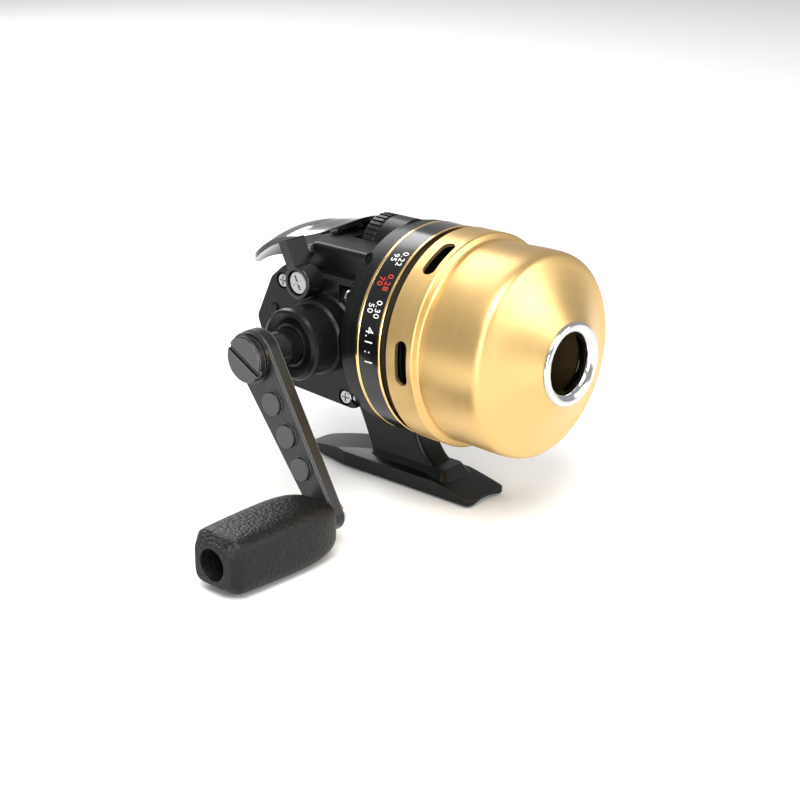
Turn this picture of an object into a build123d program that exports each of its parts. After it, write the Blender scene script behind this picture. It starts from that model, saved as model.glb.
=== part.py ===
"""Closed-face spincast reel: die-cast frame, crank drive, spinner head, spool and thumb lever.

Everything above the foot is drawn in the reel frame: x across (handle on -x), u up from the
reel axis and s forward along the axis towards the nose, measured from the rear face of the
trim band.  to_row() then lays that frame over the row frame: +Z up, nose towards -Y, and the
origin at the centre of the foot's underside.
"""
import os
from math import cos, pi, radians, sin, tan

from build123d import *

os.makedirs("parts", exist_ok=True)

# ---- placing in the row frame -------------------------------------------------------------
BAND_OVER_FOOT = 15.5       # bottom of the trim band above the foot's underside
BAND_BACK_Y = -10.0         # the band's rear face, along Y

# ---- clearances ---------------------------------------------------------------------------
RUN = 0.05                  # radial clearance of a running fit
GAP = 0.3                   # between pieces that move past each other
SEAT = 0.02                 # between pieces fixed to each other

# ---- trim band, flange and spigot ---------------------------------------------------------
BAND_R = 27.0               # outer radius of the trim band
FLANGE_STEP = 2.95          # length of each of the flange's two steps
FLANGE_LIP = 0.4            # how much smaller the rear step is
FRONT_WALL = 1.0            # how far the frame's front wall stands ahead of the flange
SPIGOT_WALL = 1.6
SPIGOT_LENGTH = 13.0
BAND_DEPTH = 2.0            # radial depth from the band's outside to the spigot
BAND_LENGTH = 8.0
LINE_REAR = 1.0             # width of the gold line at the rear edge
LINE_FRONT = 0.8
LABEL_DEPTH = 0.55
LABEL_PROUD = 0.10
SEAL_LENGTH = 2.0
SEAL_DROP = 1.1             # how far the seal sits below the band's outside

# ---- front cover --------------------------------------------------------------------------
COVER_PROUD = 0.45          # cover radius over the band radius
COVER_WALL = 1.0
COVER_BACK = 10.5
CREASE_START = 18.2
CREASE_END = 19.7
CREASE_STEP = 1.75
SHOULDER_START = 30.1
SHOULDER_SWELL = 0.3
NOSE_R = 10.5               # outer radius of the nose ring
NOSE_BORE_R = 7.46
NOSE_S = 45.5
NOSE_RING_PROUD = 0.8
NOSE_NECK_WALL = 1.75
NOSE_NECK_LENGTH = 4.0
SLOT_COUNT = 6
SLOT_LENGTH = 11.3
SLOT_WIDTH = 3.7
SLOT_S = 15.2
LUG_COUNT = 3
LUG_ARC = 40.0
LUG_LENGTH = 0.9

# ---- spool, rotor and shaft ---------------------------------------------------------------
POST_R = 5.0
POST_BORE_R = 2.9
POST_LENGTH = 14.6
SPOOL_BACK = 3.0
SPOOL_LENGTH = 9.6
SPOOL_FLANGE = 1.0
SPOOL_R = 21.0
ARBOR_R = 12.5
LINE_R = 18.6
WASHER_R = 11.5
WASHER_T = 0.85
CLIP_T = 0.7
CLIP_R = 6.6
SHAFT_R = 1.25
SHAFT_FLAT = 0.95           # half the distance across the shaft's flats
SHAFT_FRONT = 28.6
SHAFT_FLATS = (-12.6, 1.4)  # stretch of the shaft that the flats cover
ROTOR_R = 22.6
ROTOR_WALL = 1.1
ROTOR_BACK = 14.9
ROTOR_FACE = 25.0
ROTOR_SHOULDER = 3.0
ROTOR_HUB_R = 4.5
ROTOR_NUT_R = 3.6
ROTOR_NUT_L = 2.6
PICKUP_R = 0.75
PICKUP_PROUD = 1.1
PICKUP_S = 17.2
BRAKE_R = 17.5
BRAKE_WIDTH = 1.8

# ---- crank drive --------------------------------------------------------------------------
CRANK_BACK = 14.8           # crank axis behind the band's rear face
MODULE = 0.45
GEAR_TEETH = 41
PINION_TEETH = 10
GEAR_FACE = 1.0             # length of the face gear's teeth along the radius
GEAR_TIP = 0.36
GEAR_ROOT = 0.62
GEAR_BLANK = 1.6
TOOTH_GEAR = 0.50           # tooth thickness at the pitch line
TOOTH_PINION = 0.52
PRESSURE = 20.0
PINION_HUB_R = 2.4
CRANK_SHAFT_R = 2.5
CRANK_SHAFT_INNER_X = -3.3
RATCHET_R = 7.6
RATCHET_TEETH = 12
RATCHET_DEPTH = 1.3
RATCHET_T = 1.4
RATCHET_X = -11.6

# ---- gear housing -------------------------------------------------------------------------
HOUSING_X = -18.3           # handle-side wall
HOUSING_FAR_X = 14.5
HOUSING_WALL = 1.8
HOUSING_TOP = 21.7
HOUSING_TOP_BACK = 22.9
HOUSING_SHOULDER = (35.6, 11.1)
HOUSING_REAR = (41.3, -0.6)
HOUSING_HEEL = (38.8, -7.5)
HOUSING_BOTTOM = (29.4, -17.9)
HOUSING_BELLY = -19.2
CAVITY_HALF_HEIGHT = 14.0
TAIL_BEHIND = 1.6           # behind the pawl pin, where the room narrows to its tail
TAIL_HALF = 7.0
GEAR_COVER_T = 3.2
GEAR_COVER_TOP = 15.0
BOSS_R = 9.6
BOSS_X = -27.0
DRUM_R = 8.8
DRUM_X = -35.1
BUSH_WALL = 1.6

# ---- handle -------------------------------------------------------------------------------
ARM_RADIUS = 42.6           # crank axis to grip axis
ARM_ANGLE = 33.5            # forward of straight down
ARM_X = -47.8               # outer face at the nut
ARM_T = 3.4
ARM_EYE_R = 6.7
ARM_END_R = 3.8
ARM_BEVEL = 0.45
DISC_R = 3.1
DISC_HEIGHT = 0.9
DISC_FIRST = 0.289          # shares of ARM_RADIUS
DISC_PITCH = 0.204
NUT_R = 5.85
NUT_X = -50.9
NUT_SLOT = 1.7
COLLAR_R = 6.5
COLLAR_T = 1.1
HUB_R = 4.6
GRIP_LENGTH = 35.9
GRIP_PIN_R = 2.0
GRIP_HOLE_R = 3.85
GRIP_HOLE_DEPTH = 7.0
GRIP_BUSH_R = 3.3

# ---- drag ---------------------------------------------------------------------------------
DRAG_UP = 18.7
DRAG_R = 8.4
DRAG_BACK = 11.9
DRAG_WIDTH = 4.1
DRAG_SCREW_R = 1.5
DRAG_STEM_R = 1.2
DRAG_SHOE_R = 2.5
DRAG_SHOE_FRONT = 2.65      # ahead of the band's rear face, just short of the spool
KNURLS = 36
HUMP_R = 8.4
HUMP_BACK = 11.2
DRAG_NUT_W = 6.0

# ---- thumb lever --------------------------------------------------------------------------
LEVER_BACK = 25.3           # pivot behind the band's rear face
LEVER_UP = 18.8
LEVER_HALF = 11.2           # half the width of the pad
LEVER_T = 1.4
LEVER_CROWN_UP = -9.0       # centre line of the pad's crown across
LEVER_FRONT = 21.6          # pad's front end behind the band's rear face
LEVER_TIP = 57.6
RIB_T = 1.6
LEVER_HUB_R = 3.0
LEVER_PIN_R = 1.5
CAP_R = 2.6
CAP_FRONT = 27.8
CAP_BACK = 35.0
CAP_FLANGE_R = 4.6
CAP_FLANGE_T = 0.9
NOSE_PAD_R = 1.7
GUIDE_BACK = 29.7
GUIDE_T = 1.6
SPRING_WIRE = 0.25
SPRING_R = 3.6
SPRING_TURNS = 3.5

# ---- anti-reverse -------------------------------------------------------------------------
SELECTOR_BEHIND = 5.6       # behind the crank axis
SELECTOR_UP = 13.1
SELECTOR_R = 4.3
SELECTOR_LENGTH = 5.0
SELECTOR_SCREW_R = 3.15
SELECTOR_SCREW_T = 1.2
SELECTOR_RECESS = 1.6       # screw seat below the knob's face
SELECTOR_SHAFT_R = 1.6
SELECTOR_BOLT_R = 0.9
PADDLE_ANGLE = 27.0
PADDLE_REACH = 11.2
PADDLE_T = 2.8
PADDLE_LENGTH = 6.6
CAM_R = 2.3
PAWL_BEHIND = 8.6           # behind the crank axis
PAWL_UP = 7.6
PAWL_PIN_R = 1.0
PAWL_CLEAR = 0.35           # tip to ratchet with the pawl lifted
PAWL_ANGLE = 62.0           # where the tip meets the ratchet, up from the rear
PAWL_EYE_R = 2.1

# ---- foot ---------------------------------------------------------------------------------
FOOT_LENGTH = 60.4
FOOT_WIDTH = 14.4
FOOT_TIP_WIDTH = 8.4
FOOT_THICK = 5.2
FOOT_TIP_T = 1.3
FOOT_CROWN = 1.7
FOOT_FRONT_CORNER = 1.2
FOOT_REAR_CORNER = 2.4
FOOT_GROOVE_R = 14.0
FOOT_GROOVE_DEPTH = 0.9
FOOT_LAND = 6.0             # flat pad left at the middle of the underside
STEM_WIDTH = 8.0
STEM_CORNER = 1.4
STEM_LENGTH = 25.5          # where it meets the foot
STEM_MIDDLE = 3.25          # distance back of that length's middle
FLARE = 2.0                 # how far the stem spreads as it meets the foot

# ---- screws -------------------------------------------------------------------------------
SCREW_HEAD_R = 1.9
SCREW_HEAD_T = 1.0
SCREW_R = 1.1
FLANGE_SCREW_RADIUS = 24.8
COVER_DOWEL = (34.2, 2.5)     # distance back, up
COVER_DOWEL_R = 1.5

AXIS_HEIGHT = BAND_R + BAND_OVER_FOOT
SELECTOR_BACK = CRANK_BACK + SELECTOR_BEHIND
PAWL_BACK = CRANK_BACK + PAWL_BEHIND
TAIL_START = PAWL_BACK + TAIL_BEHIND
SPIGOT_R = BAND_R - BAND_DEPTH
SPIGOT_INNER_R = SPIGOT_R - SPIGOT_WALL
COVER_R = BAND_R + COVER_PROUD
COVER_INNER_R = COVER_R - COVER_WALL
FLANGE_LENGTH = 2 * FLANGE_STEP
CLIP_S = SPOOL_BACK + SPOOL_LENGTH + GAP
CLIP_GROOVE_R = POST_R - 0.6
SPIN_BACK = POST_LENGTH + 1.2
PINION_PHASE = 180.0 + 180.0 / PINION_TEETH
PLUG_X = HOUSING_X + HOUSING_WALL
CAM_X = PLUG_X + 3.2
GEAR_R = MODULE * GEAR_TEETH / 2
PINION_R = MODULE * PINION_TEETH / 2
PINION_TIP_R = PINION_R + MODULE
PINION_ROOT_R = PINION_R - 1.2 * MODULE
ARM_UP = -ARM_RADIUS * cos(radians(ARM_ANGLE))
ARM_FORWARD = ARM_RADIUS * sin(radians(ARM_ANGLE))
CRANK_S = -CRANK_BACK
GRIP_S = CRANK_S + ARM_FORWARD
GRIP_X = ARM_X - GAP
ARM_INNER_X = ARM_X + ARM_T
LOW = (Align.CENTER, Align.CENTER, Align.MIN)


# ---- shape helpers, all in the reel frame -------------------------------------------------
def disc(radius, s_from, s_to, x=0.0, up=0.0):
    """Cylinder along s."""
    return Pos(x, up, s_from) * Cylinder(radius, s_to - s_from, align=LOW)


def tube(outer, inner, s_from, s_to, x=0.0, up=0.0):
    return disc(outer, s_from, s_to, x, up) - disc(inner, s_from - 1, s_to + 1, x, up)


def rod(radius, x_from, x_to, up, s):
    """Cylinder along x."""
    return Pos(x_from, up, s) * Rot(0, 90, 0) * Cylinder(radius, x_to - x_from, align=LOW)


def sleeve(outer, inner, x_from, x_to, up, s):
    return rod(outer, x_from, x_to, up, s) - rod(inner, x_from - 1, x_to + 1, up, s)


def block(x_from, x_to, up_from, up_to, s_from, s_to):
    size = (x_to - x_from, up_to - up_from, s_to - s_from)
    corner = (Align.MIN, Align.MIN, Align.MIN)
    return Pos(x_from, up_from, s_from) * Box(*size, align=corner)


def turned(points):
    """Solid of revolution about the reel axis from (radius, s) corners."""
    face = Plane.XZ * make_face(Polyline(*points, close=True))
    return revolve(face, Axis.Z)


def turned_x(points, up, s):
    """Solid of revolution about a line along x from (x, radius) corners."""
    face = make_face(Polyline(*points, close=True))
    return Pos(0, up, s) * revolve(face, Axis.X)


def side_plate(face, x_from, x_to):
    """Extrude a face drawn in (distance back, up) from x_from to x_to."""
    plane = Plane(origin=(x_from, 0, 0), x_dir=(0, 0, -1), z_dir=(1, 0, 0))
    return extrude(plane * face, x_to - x_from)


def ring_of(shape, count, start=0.0):
    """Copies of a shape spaced evenly about the reel axis."""
    return [Rot(0, 0, start + i * 360 / count) * shape for i in range(count)]


def joined(shapes):
    whole = shapes[0]
    for shape in shapes[1:]:
        whole = whole + shape
    return whole


def to_row(shape):
    return Pos(0, BAND_BACK_Y, AXIS_HEIGHT) * Rot(90, 0, 0) * shape


def save(name, shape):
    """Write one node; several separate solids stay separate inside it."""
    solids = [to_row(solid) for solid in shape.solids()]
    node = solids[0] if len(solids) == 1 else Compound(children=solids)
    node.label = name
    export_step(node, f"parts/{name}.step")


# ---- frame --------------------------------------------------------------------------------
def housing_face(inset=0.0):
    """Side outline of the gear housing in (distance back, up)."""
    start = FLANGE_LENGTH - 1.0
    corners = [
        (start, HOUSING_TOP - inset),
        (HOUSING_TOP_BACK, HOUSING_TOP - inset),
        (HOUSING_SHOULDER[0] - inset, HOUSING_SHOULDER[1]),
        (HOUSING_REAR[0] - inset, HOUSING_REAR[1]),
        (HOUSING_HEEL[0] - inset, HOUSING_HEEL[1]),
        (HOUSING_BOTTOM[0] - inset, HOUSING_BOTTOM[1] + inset),
        (start, HOUSING_BELLY + inset),
    ]
    face = make_face(Polyline(*corners, close=True))
    round_corners = [v for v in face.vertices() if v.X > start + 1]
    return fillet(round_corners, 2.6)


def drag_hump():
    return disc(HUMP_R, -HUMP_BACK, -FLANGE_LENGTH + 1, up=DRAG_UP)


def stem():
    """Slanted neck from the housing's belly down into the foot, waisted by two arcs."""
    top = HOUSING_BELLY + 3
    low = -AXIS_HEIGHT + FOOT_THICK - 1.2
    root = -AXIS_HEIGHT + FOOT_THICK / 2
    waist = -BAND_R + 2.15
    front = [(-2.2, top), (0.6, waist - 1.0), (-9.5, low)]
    rear = [(16.0, low), (21.5, waist - 1.5), (27.0, top)]
    outline = [
        ThreePointArc(*front),
        Line(front[2], (front[2][0], root)),
        Line((front[2][0], root), (rear[0][0], root)),
        Line((rear[0][0], root), rear[0]),
        ThreePointArc(*rear),
        Line(rear[2], front[0]),
    ]
    neck = side_plate(make_face(outline), -STEM_WIDTH / 2, STEM_WIDTH / 2)
    fronts = neck.edges().filter_by(GeomType.CIRCLE)
    return fillet(fronts, STEM_CORNER)


def foot():
    """Long plate, crowned across and arched along, flat underneath with a rod groove."""
    half = FOOT_LENGTH / 2
    middle = -BAND_BACK_Y
    base = -AXIS_HEIGHT
    outline = [
        Line((middle - half, base), (middle + half, base)),
        Line((middle + half, base), (middle + half, base + FOOT_TIP_T)),
        ThreePointArc(
            (middle + half, base + FOOT_TIP_T),
            (middle, base + FOOT_THICK),
            (middle - half, base + FOOT_TIP_T),
        ),
        Line((middle - half, base + FOOT_TIP_T), (middle - half, base)),
    ]
    arch = side_plate(make_face(outline), -FOOT_WIDTH / 2, FOOT_WIDTH / 2)
    wide = FOOT_WIDTH / 2
    tip = FOOT_TIP_WIDTH / 2
    taper = 0.55 * half
    plan = [
        (-wide, -half),
        (wide, -half),
        (wide, half - taper),
        (tip, half),
        (-tip, half),
        (-wide, half - taper),
    ]
    sketch = make_face(Polyline(*plan, close=True))
    sketch = fillet([v for v in sketch.vertices() if v.Y < 1 - half], FOOT_FRONT_CORNER)
    sketch = fillet([v for v in sketch.vertices() if v.Y > half - 1], FOOT_REAR_CORNER)
    lift = Plane(origin=(0, base - 1, -middle), x_dir=(1, 0, 0), z_dir=(0, 1, 0))
    arch = arch & extrude(lift * sketch, FOOT_THICK + 2)
    crown_r = (wide ** 2 + FOOT_CROWN ** 2) / (2 * FOOT_CROWN) + 3.0
    crown_up = base + FOOT_THICK - crown_r
    arch = arch & disc(crown_r, -middle - half - 1, -middle + half + 1, up=crown_up)
    groove_up = base - FOOT_GROOVE_R + FOOT_GROOVE_DEPTH
    for sign in (-1, 1):
        near = sign * FOOT_LAND / 2
        far = sign * (half + 1)
        low_s, high_s = sorted((-middle + near, -middle + far))
        arch = arch - disc(FOOT_GROOVE_R, low_s, high_s, up=groove_up)
    return arch


def pedestal():
    """Foot and stem in one casting, the stem spreading as it meets the foot."""
    spread = []
    for up, grow in ((-AXIS_HEIGHT + FOOT_THICK - 1.9, FLARE), (-AXIS_HEIGHT + FOOT_THICK + 0.9, 0)):
        plane = Plane(origin=(0, up, -STEM_MIDDLE), x_dir=(1, 0, 0), z_dir=(0, 1, 0))
        width = STEM_WIDTH + 2 * grow
        length = STEM_LENGTH + 2 * grow - 1
        spread.append(plane * RectangleRounded(width, length, STEM_CORNER + grow / 2))
    return foot() + stem() + loft(spread)


def gear_room():
    """The housing's hollow: gears, shaft end, return spring and lever arm."""
    far = HOUSING_FAR_X - HOUSING_WALL
    gears = block(HOUSING_X - 1, far, -CAVITY_HALF_HEIGHT, CAVITY_HALF_HEIGHT, -TAIL_START - 1, -1.6)
    back = HOUSING_REAR[0] - HOUSING_WALL
    corners = [
        (TAIL_START, -TAIL_HALF), (back - 3.5, -TAIL_HALF), (back, HOUSING_REAR[1]),
        (back - 3.5, TAIL_HALF), (TAIL_START, TAIL_HALF),
    ]
    return gears + side_plate(make_face(Polyline(*corners, close=True)), -TAIL_HALF - 1, far)


def guide_wall():
    """Bulkhead that carries the bush for the thrust cap."""
    wall = block(-TAIL_HALF - 1.5, HOUSING_FAR_X - 1, -TAIL_HALF - 0.5, TAIL_HALF,
                 -GUIDE_BACK, -GUIDE_BACK + GUIDE_T)
    bore = disc(CAP_R + BUSH_WALL, -GUIDE_BACK - 1, -GUIDE_BACK + GUIDE_T + 1)
    return wall - bore


def lever_room():
    """Open channel in the top and rear for the lever's hub and arm."""
    hub = block(-LEVER_HALF - 0.6, LEVER_HALF + 0.6, LEVER_UP - LEVER_HUB_R - 0.8, HOUSING_TOP + 9,
                -60, -LEVER_BACK + LEVER_HUB_R + 1.0)
    arm = block(-3.6, 3.6, -NOSE_PAD_R - 0.8, HOUSING_TOP + 9, -60, -CAP_BACK - 0.05)
    throat = block(-3.6, 3.6, 9.5, HOUSING_TOP + 9, -60, -LEVER_BACK + LEVER_HUB_R + 1.0)
    swing = block(-3.6, 3.6, TAIL_HALF - 1, 10.0, -CAP_BACK - 1, -GUIDE_BACK - 1.6)
    return hub + arm + throat + swing


def flange_screw_spots():
    """Places of the screws round the flange, as (x, up)."""
    turns = [radians(angle) for angle in (153, 219, 27, -39)]
    return [(FLANGE_SCREW_RADIUS * cos(turn), FLANGE_SCREW_RADIUS * sin(turn)) for turn in turns]


def body_frame():
    flange = disc(BAND_R, -FLANGE_STEP, 0) + disc(BAND_R - FLANGE_LIP, -FLANGE_LENGTH, -FLANGE_STEP)
    flange = chamfer(flange.edges().filter_by(GeomType.CIRCLE).sort_by(Axis.Z)[0], 0.6)
    wall = disc(SPIGOT_R, -0.1, FRONT_WALL)
    spigot = tube(SPIGOT_R, SPIGOT_INNER_R, 0, SPIGOT_LENGTH)
    post = disc(POST_R, 0, POST_LENGTH)
    shell = side_plate(housing_face(), HOUSING_X, HOUSING_FAR_X)
    shell = fillet(shell.edges().filter_by(Plane.YZ).group_by(Axis.X)[0], 1.2)
    lugs = ring_of(lock_lug(SPIGOT_R - 0.4, COVER_INNER_R - GAP, SPIGOT_LENGTH - LUG_LENGTH,
                            SPIGOT_LENGTH), LUG_COUNT)
    solid = flange + wall + spigot + post + shell + drag_hump() + pedestal()
    solid = solid + joined(lugs)
    solid = solid - gear_room() - lever_room()
    solid = solid + guide_wall()
    solid = solid - disc(DRAG_R + GAP, -DRAG_BACK - DRAG_WIDTH - 3.0, -DRAG_BACK + GAP, up=DRAG_UP)
    solid = solid - drag_pocket()
    solid = solid - disc(PINION_HUB_R + RUN, -2, FRONT_WALL)
    solid = solid - disc(POST_BORE_R, 0, POST_LENGTH + 1)
    solid = solid - tube(POST_R + 1, CLIP_GROOVE_R, CLIP_S, CLIP_S + CLIP_T + 0.1)
    solid = solid - rod(LEVER_PIN_R + SEAT, HOUSING_X - 1, HOUSING_FAR_X + 1, LEVER_UP, -LEVER_BACK)
    for x, up in flange_screw_spots():
        solid = solid - disc(SCREW_R + SEAT, -FLANGE_LENGTH - 1, -1.5, x, up)
        solid = solid - disc(SCREW_HEAD_R + 0.4, -HOUSING_BOTTOM[0] - 9, -FLANGE_LENGTH, x, up)
    for back, up in cover_screw_spots():
        solid = solid - rod(SCREW_R + SEAT, HOUSING_X - 1, HOUSING_X + 5, up, -back)
    solid = solid - rod(COVER_DOWEL_R + SEAT, HOUSING_X - 1, HOUSING_X + 3.6, COVER_DOWEL[1],
                        -COVER_DOWEL[0])
    solid = solid - rod(CAM_R + GAP, HOUSING_X - 1, CAM_X + GAP, SELECTOR_UP, -SELECTOR_BACK)
    return solid


def drag_pocket():
    """Room for the drag nut, its screw and the shoe's stem."""
    half = DRAG_NUT_W / 2 + 0.15
    room = block(-half, half, DRAG_UP - half, DRAG_UP + half, -9.9, -4.9)
    screw = disc(DRAG_SCREW_R + RUN, -HUMP_BACK - 1, -5, up=DRAG_UP)
    stem_hole = disc(DRAG_STEM_R + RUN, -6, FRONT_WALL + 1, up=DRAG_UP)
    shoe_hole = disc(DRAG_SHOE_R + 0.2, -0.9, FRONT_WALL + 1, up=DRAG_UP)
    return room + screw + stem_hole + shoe_hole


def lock_lug(inner, outer, s_from, s_to):
    """One bayonet lug: a stretch of ring centred on +x."""
    wedge_r = outer + 5
    half = radians(LUG_ARC / 2)
    corners = [(0, 0), (wedge_r * cos(half), -wedge_r * sin(half)),
               (wedge_r * 1.3, 0), (wedge_r * cos(half), wedge_r * sin(half))]
    wedge = Pos(0, 0, s_from) * extrude(make_face(Polyline(*corners, close=True)), s_to - s_from)
    return tube(outer, inner, s_from, s_to) & wedge


# ---- side plate ---------------------------------------------------------------------------
def cover_screw_spots():
    """Screws that hold the gear cover, as (distance back, up)."""
    return [(31.0, 10.6), (29.8, -11.8), (9.2, -16.0)]


def gear_cover():
    """Side plate with the stepped crank boss and its hollow, flared mouth."""
    keep = block(HOUSING_X - 20, HOUSING_X + 20, -60, GEAR_COVER_TOP, -60, -FLANGE_LENGTH - GAP)
    plate = side_plate(housing_face(0.7), HOUSING_X - GEAR_COVER_T, HOUSING_X - SEAT) & keep
    plate = chamfer(plate.edges().filter_by(Plane.YZ).group_by(Axis.X)[0], 0.8)
    edge = CAVITY_HALF_HEIGHT - 0.3
    plug = block(HOUSING_X - 0.1, PLUG_X, -edge, edge, -TAIL_START - 0.7, -FLANGE_LENGTH - 1.0)
    bore = CRANK_SHAFT_R + BUSH_WALL
    profile = [
        (HOUSING_X - 0.1, 0), (HOUSING_X - 0.1, BOSS_R + 0.5), (HOUSING_X - GEAR_COVER_T, BOSS_R + 0.5),
        (HOUSING_X - GEAR_COVER_T - 0.6, BOSS_R), (BOSS_X + 0.5, BOSS_R), (BOSS_X, BOSS_R - 0.5),
        (BOSS_X, DRUM_R), (DRUM_X + 1.4, DRUM_R), (DRUM_X + 0.8, DRUM_R + 0.45),
        (DRUM_X, DRUM_R + 0.1), (DRUM_X - 0.5, DRUM_R - 0.7), (DRUM_X + 1.1, HUB_R + 1.4),
        (DRUM_X - 0.2, HUB_R + 0.9), (DRUM_X - 0.2, 0),
    ]
    cover = plate + plug + turned_x(profile, 0, CRANK_S)
    cover = cover - disc(BAND_R + GAP, -FLANGE_LENGTH - SEAT, 5)
    for x, up in flange_screw_spots():
        cover = cover - disc(SCREW_HEAD_R + 0.5, -FLANGE_LENGTH - 5, 0, x, up)
    cover = cover - rod(bore, DRUM_X + 0.4, PLUG_X + 1, 0, CRANK_S)
    cover = cover - rod(HUB_R + GAP, DRUM_X - 2, DRUM_X + 1.6, 0, CRANK_S)
    cover = cover - rod(SELECTOR_SHAFT_R + RUN, HOUSING_X - 9, PLUG_X + 1, SELECTOR_UP, -SELECTOR_BACK)
    cover = cover - rod(PAWL_PIN_R + SEAT, HOUSING_X - 0.6, PLUG_X + 1, PAWL_UP, -PAWL_BACK)
    cover = cover - rod(COVER_DOWEL_R + SEAT, HOUSING_X - 9, PLUG_X, COVER_DOWEL[1], -COVER_DOWEL[0])
    for back, up in cover_screw_spots():
        cover = cover - rod(SCREW_R + SEAT, HOUSING_X - 9, PLUG_X + 1, up, -back)
        cover = cover - rod(SCREW_HEAD_R + 0.3, HOUSING_X - 9, HOUSING_X - GEAR_COVER_T + 1.2, up, -back)
    return cover


def phillips(head, radius, depth):
    """Cross recess cut into a head whose top lies at z = 0 and faces +z."""
    arm = Box(radius * 1.25, radius * 0.26, depth * 2)
    return head - arm - Rot(0, 0, 90) * arm


def screw(radius, head_r, head_t, length):
    """Pan-head screw with its head on top of z = 0 and its shank below."""
    head = Cylinder(head_r, head_t, align=LOW)
    head = fillet(head.edges().sort_by(Axis.Z)[-1], head_t * 0.45)
    head = Pos(0, 0, head_t) * phillips(Pos(0, 0, -head_t) * head, head_r, head_t * 0.6)
    return head + Pos(0, 0, -length) * Cylinder(radius, length, align=LOW)


def cover_dowel():
    """Round pin that lines the gear cover up with the frame."""
    end = HOUSING_X - GEAR_COVER_T - 0.7
    pin = rod(COVER_DOWEL_R, end, HOUSING_X + 3.5, COVER_DOWEL[1], -COVER_DOWEL[0])
    return fillet(pin.edges().filter_by(GeomType.CIRCLE).group_by(Axis.X)[0], 0.4)


def gear_cover_screws():
    seat = HOUSING_X - GEAR_COVER_T + 1.2
    one = Rot(0, -90, 0) * screw(SCREW_R, SCREW_HEAD_R, SCREW_HEAD_T, 5.0)
    return Compound(children=[Pos(seat, up, -back) * one for back, up in cover_screw_spots()])


def flange_screws():
    one = Rot(180, 0, 0) * screw(SCREW_R, SCREW_HEAD_R, SCREW_HEAD_T, 4.0)
    return Compound(children=[Pos(x, up, -FLANGE_LENGTH) * one for x, up in flange_screw_spots()])


# ---- trim ---------------------------------------------------------------------------------
def trim_ring():
    """Gold ring with a raised line at each edge and a channel for the label."""
    floor = BAND_R - LABEL_DEPTH
    inner = SPIGOT_R + SEAT
    lip = 0.2
    profile = [
        (inner, SEAT), (BAND_R, SEAT), (BAND_R + lip, SEAT + lip),
        (BAND_R + lip, LINE_REAR - lip), (BAND_R, LINE_REAR), (floor, LINE_REAR),
        (floor, BAND_LENGTH - LINE_FRONT), (BAND_R, BAND_LENGTH - LINE_FRONT),
        (BAND_R + lip, BAND_LENGTH - LINE_FRONT + lip), (BAND_R + lip, BAND_LENGTH - lip),
        (BAND_R, BAND_LENGTH), (inner, BAND_LENGTH),
    ]
    return turned(profile)


def label_band():
    return tube(BAND_R + LABEL_PROUD, BAND_R - LABEL_DEPTH + SEAT,
                LINE_REAR + SEAT, BAND_LENGTH - LINE_FRONT - SEAT)


def seal_ring():
    outer = BAND_R - SEAL_DROP
    start = BAND_LENGTH + SEAT
    end = start + SEAL_LENGTH
    inner = SPIGOT_R + SEAT
    middle = (start + end) / 2
    profile = [(inner, start), (outer, start), (outer, middle - 0.35), (outer - 0.5, middle - 0.1),
               (outer - 0.5, middle + 0.1), (outer, middle + 0.35), (outer, end), (inner, end)]
    return turned(profile)


# ---- front cover --------------------------------------------------------------------------
def cover_outline(wall):
    """Outer edge of the cover drawn inwards by a wall, from its rear rim to the nose."""
    radius = COVER_R - wall
    front_r = COVER_R - CREASE_STEP - wall
    swell_r = front_r + SHOULDER_SWELL
    nose = (NOSE_R - 0.35, NOSE_S - wall * 1.15)
    lean = radians(53.6)
    reach = 19.9
    back_handle = (nose[0] + reach * sin(lean) - 0.4 * wall, nose[1] - reach * cos(lean))
    return [
        Line((radius, COVER_BACK), (radius, CREASE_START - 0.3 * wall)),
        Bezier((radius, CREASE_START - 0.3 * wall), (radius, CREASE_START + 0.9),
               (front_r, CREASE_START + 0.5), (front_r, CREASE_END - 0.3 * wall)),
        Line((front_r, CREASE_END - 0.3 * wall), (swell_r, SHOULDER_START)),
        Bezier((swell_r, SHOULDER_START), (swell_r + 0.13, SHOULDER_START + 12.8 - wall),
               back_handle, nose),
    ]


def front_cover():
    """Spun and brushed cover: rear cylinder, crease, swelling front and broad shoulder."""
    outer = cover_outline(0.0)
    inner = cover_outline(COVER_WALL)
    hole = NOSE_R - 1.2
    edges = outer + inner + [
        Line((COVER_R, COVER_BACK), (COVER_INNER_R, COVER_BACK)),
        Line(outer[-1] @ 1, (hole, NOSE_S)),
        Line((hole, NOSE_S), (hole, (inner[-1] @ 1).Y)),
        Line((hole, (inner[-1] @ 1).Y), inner[-1] @ 1),
    ]
    shell = revolve(Plane.XZ * make_face(edges), Axis.Z)
    slot_plane = Plane(origin=(0, 0, SLOT_S), x_dir=(0, 1, 0), z_dir=(-1, 0, 0))
    slot = extrude(slot_plane * SlotOverall(SLOT_LENGTH, SLOT_WIDTH), COVER_R + 5)
    return shell - joined(ring_of(slot, SLOT_COUNT))


def cover_lock_ring():
    """Bayonet ring pressed into the cover's rim; its lugs pass behind the frame's lugs."""
    start = COVER_BACK + 0.25
    ring = tube(COVER_INNER_R - SEAT, COVER_INNER_R - 0.8, start, start + LUG_LENGTH)
    lugs = ring_of(lock_lug(SPIGOT_R + GAP, COVER_INNER_R - 0.5, start, start + LUG_LENGTH), LUG_COUNT)
    return ring + joined(lugs)


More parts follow.
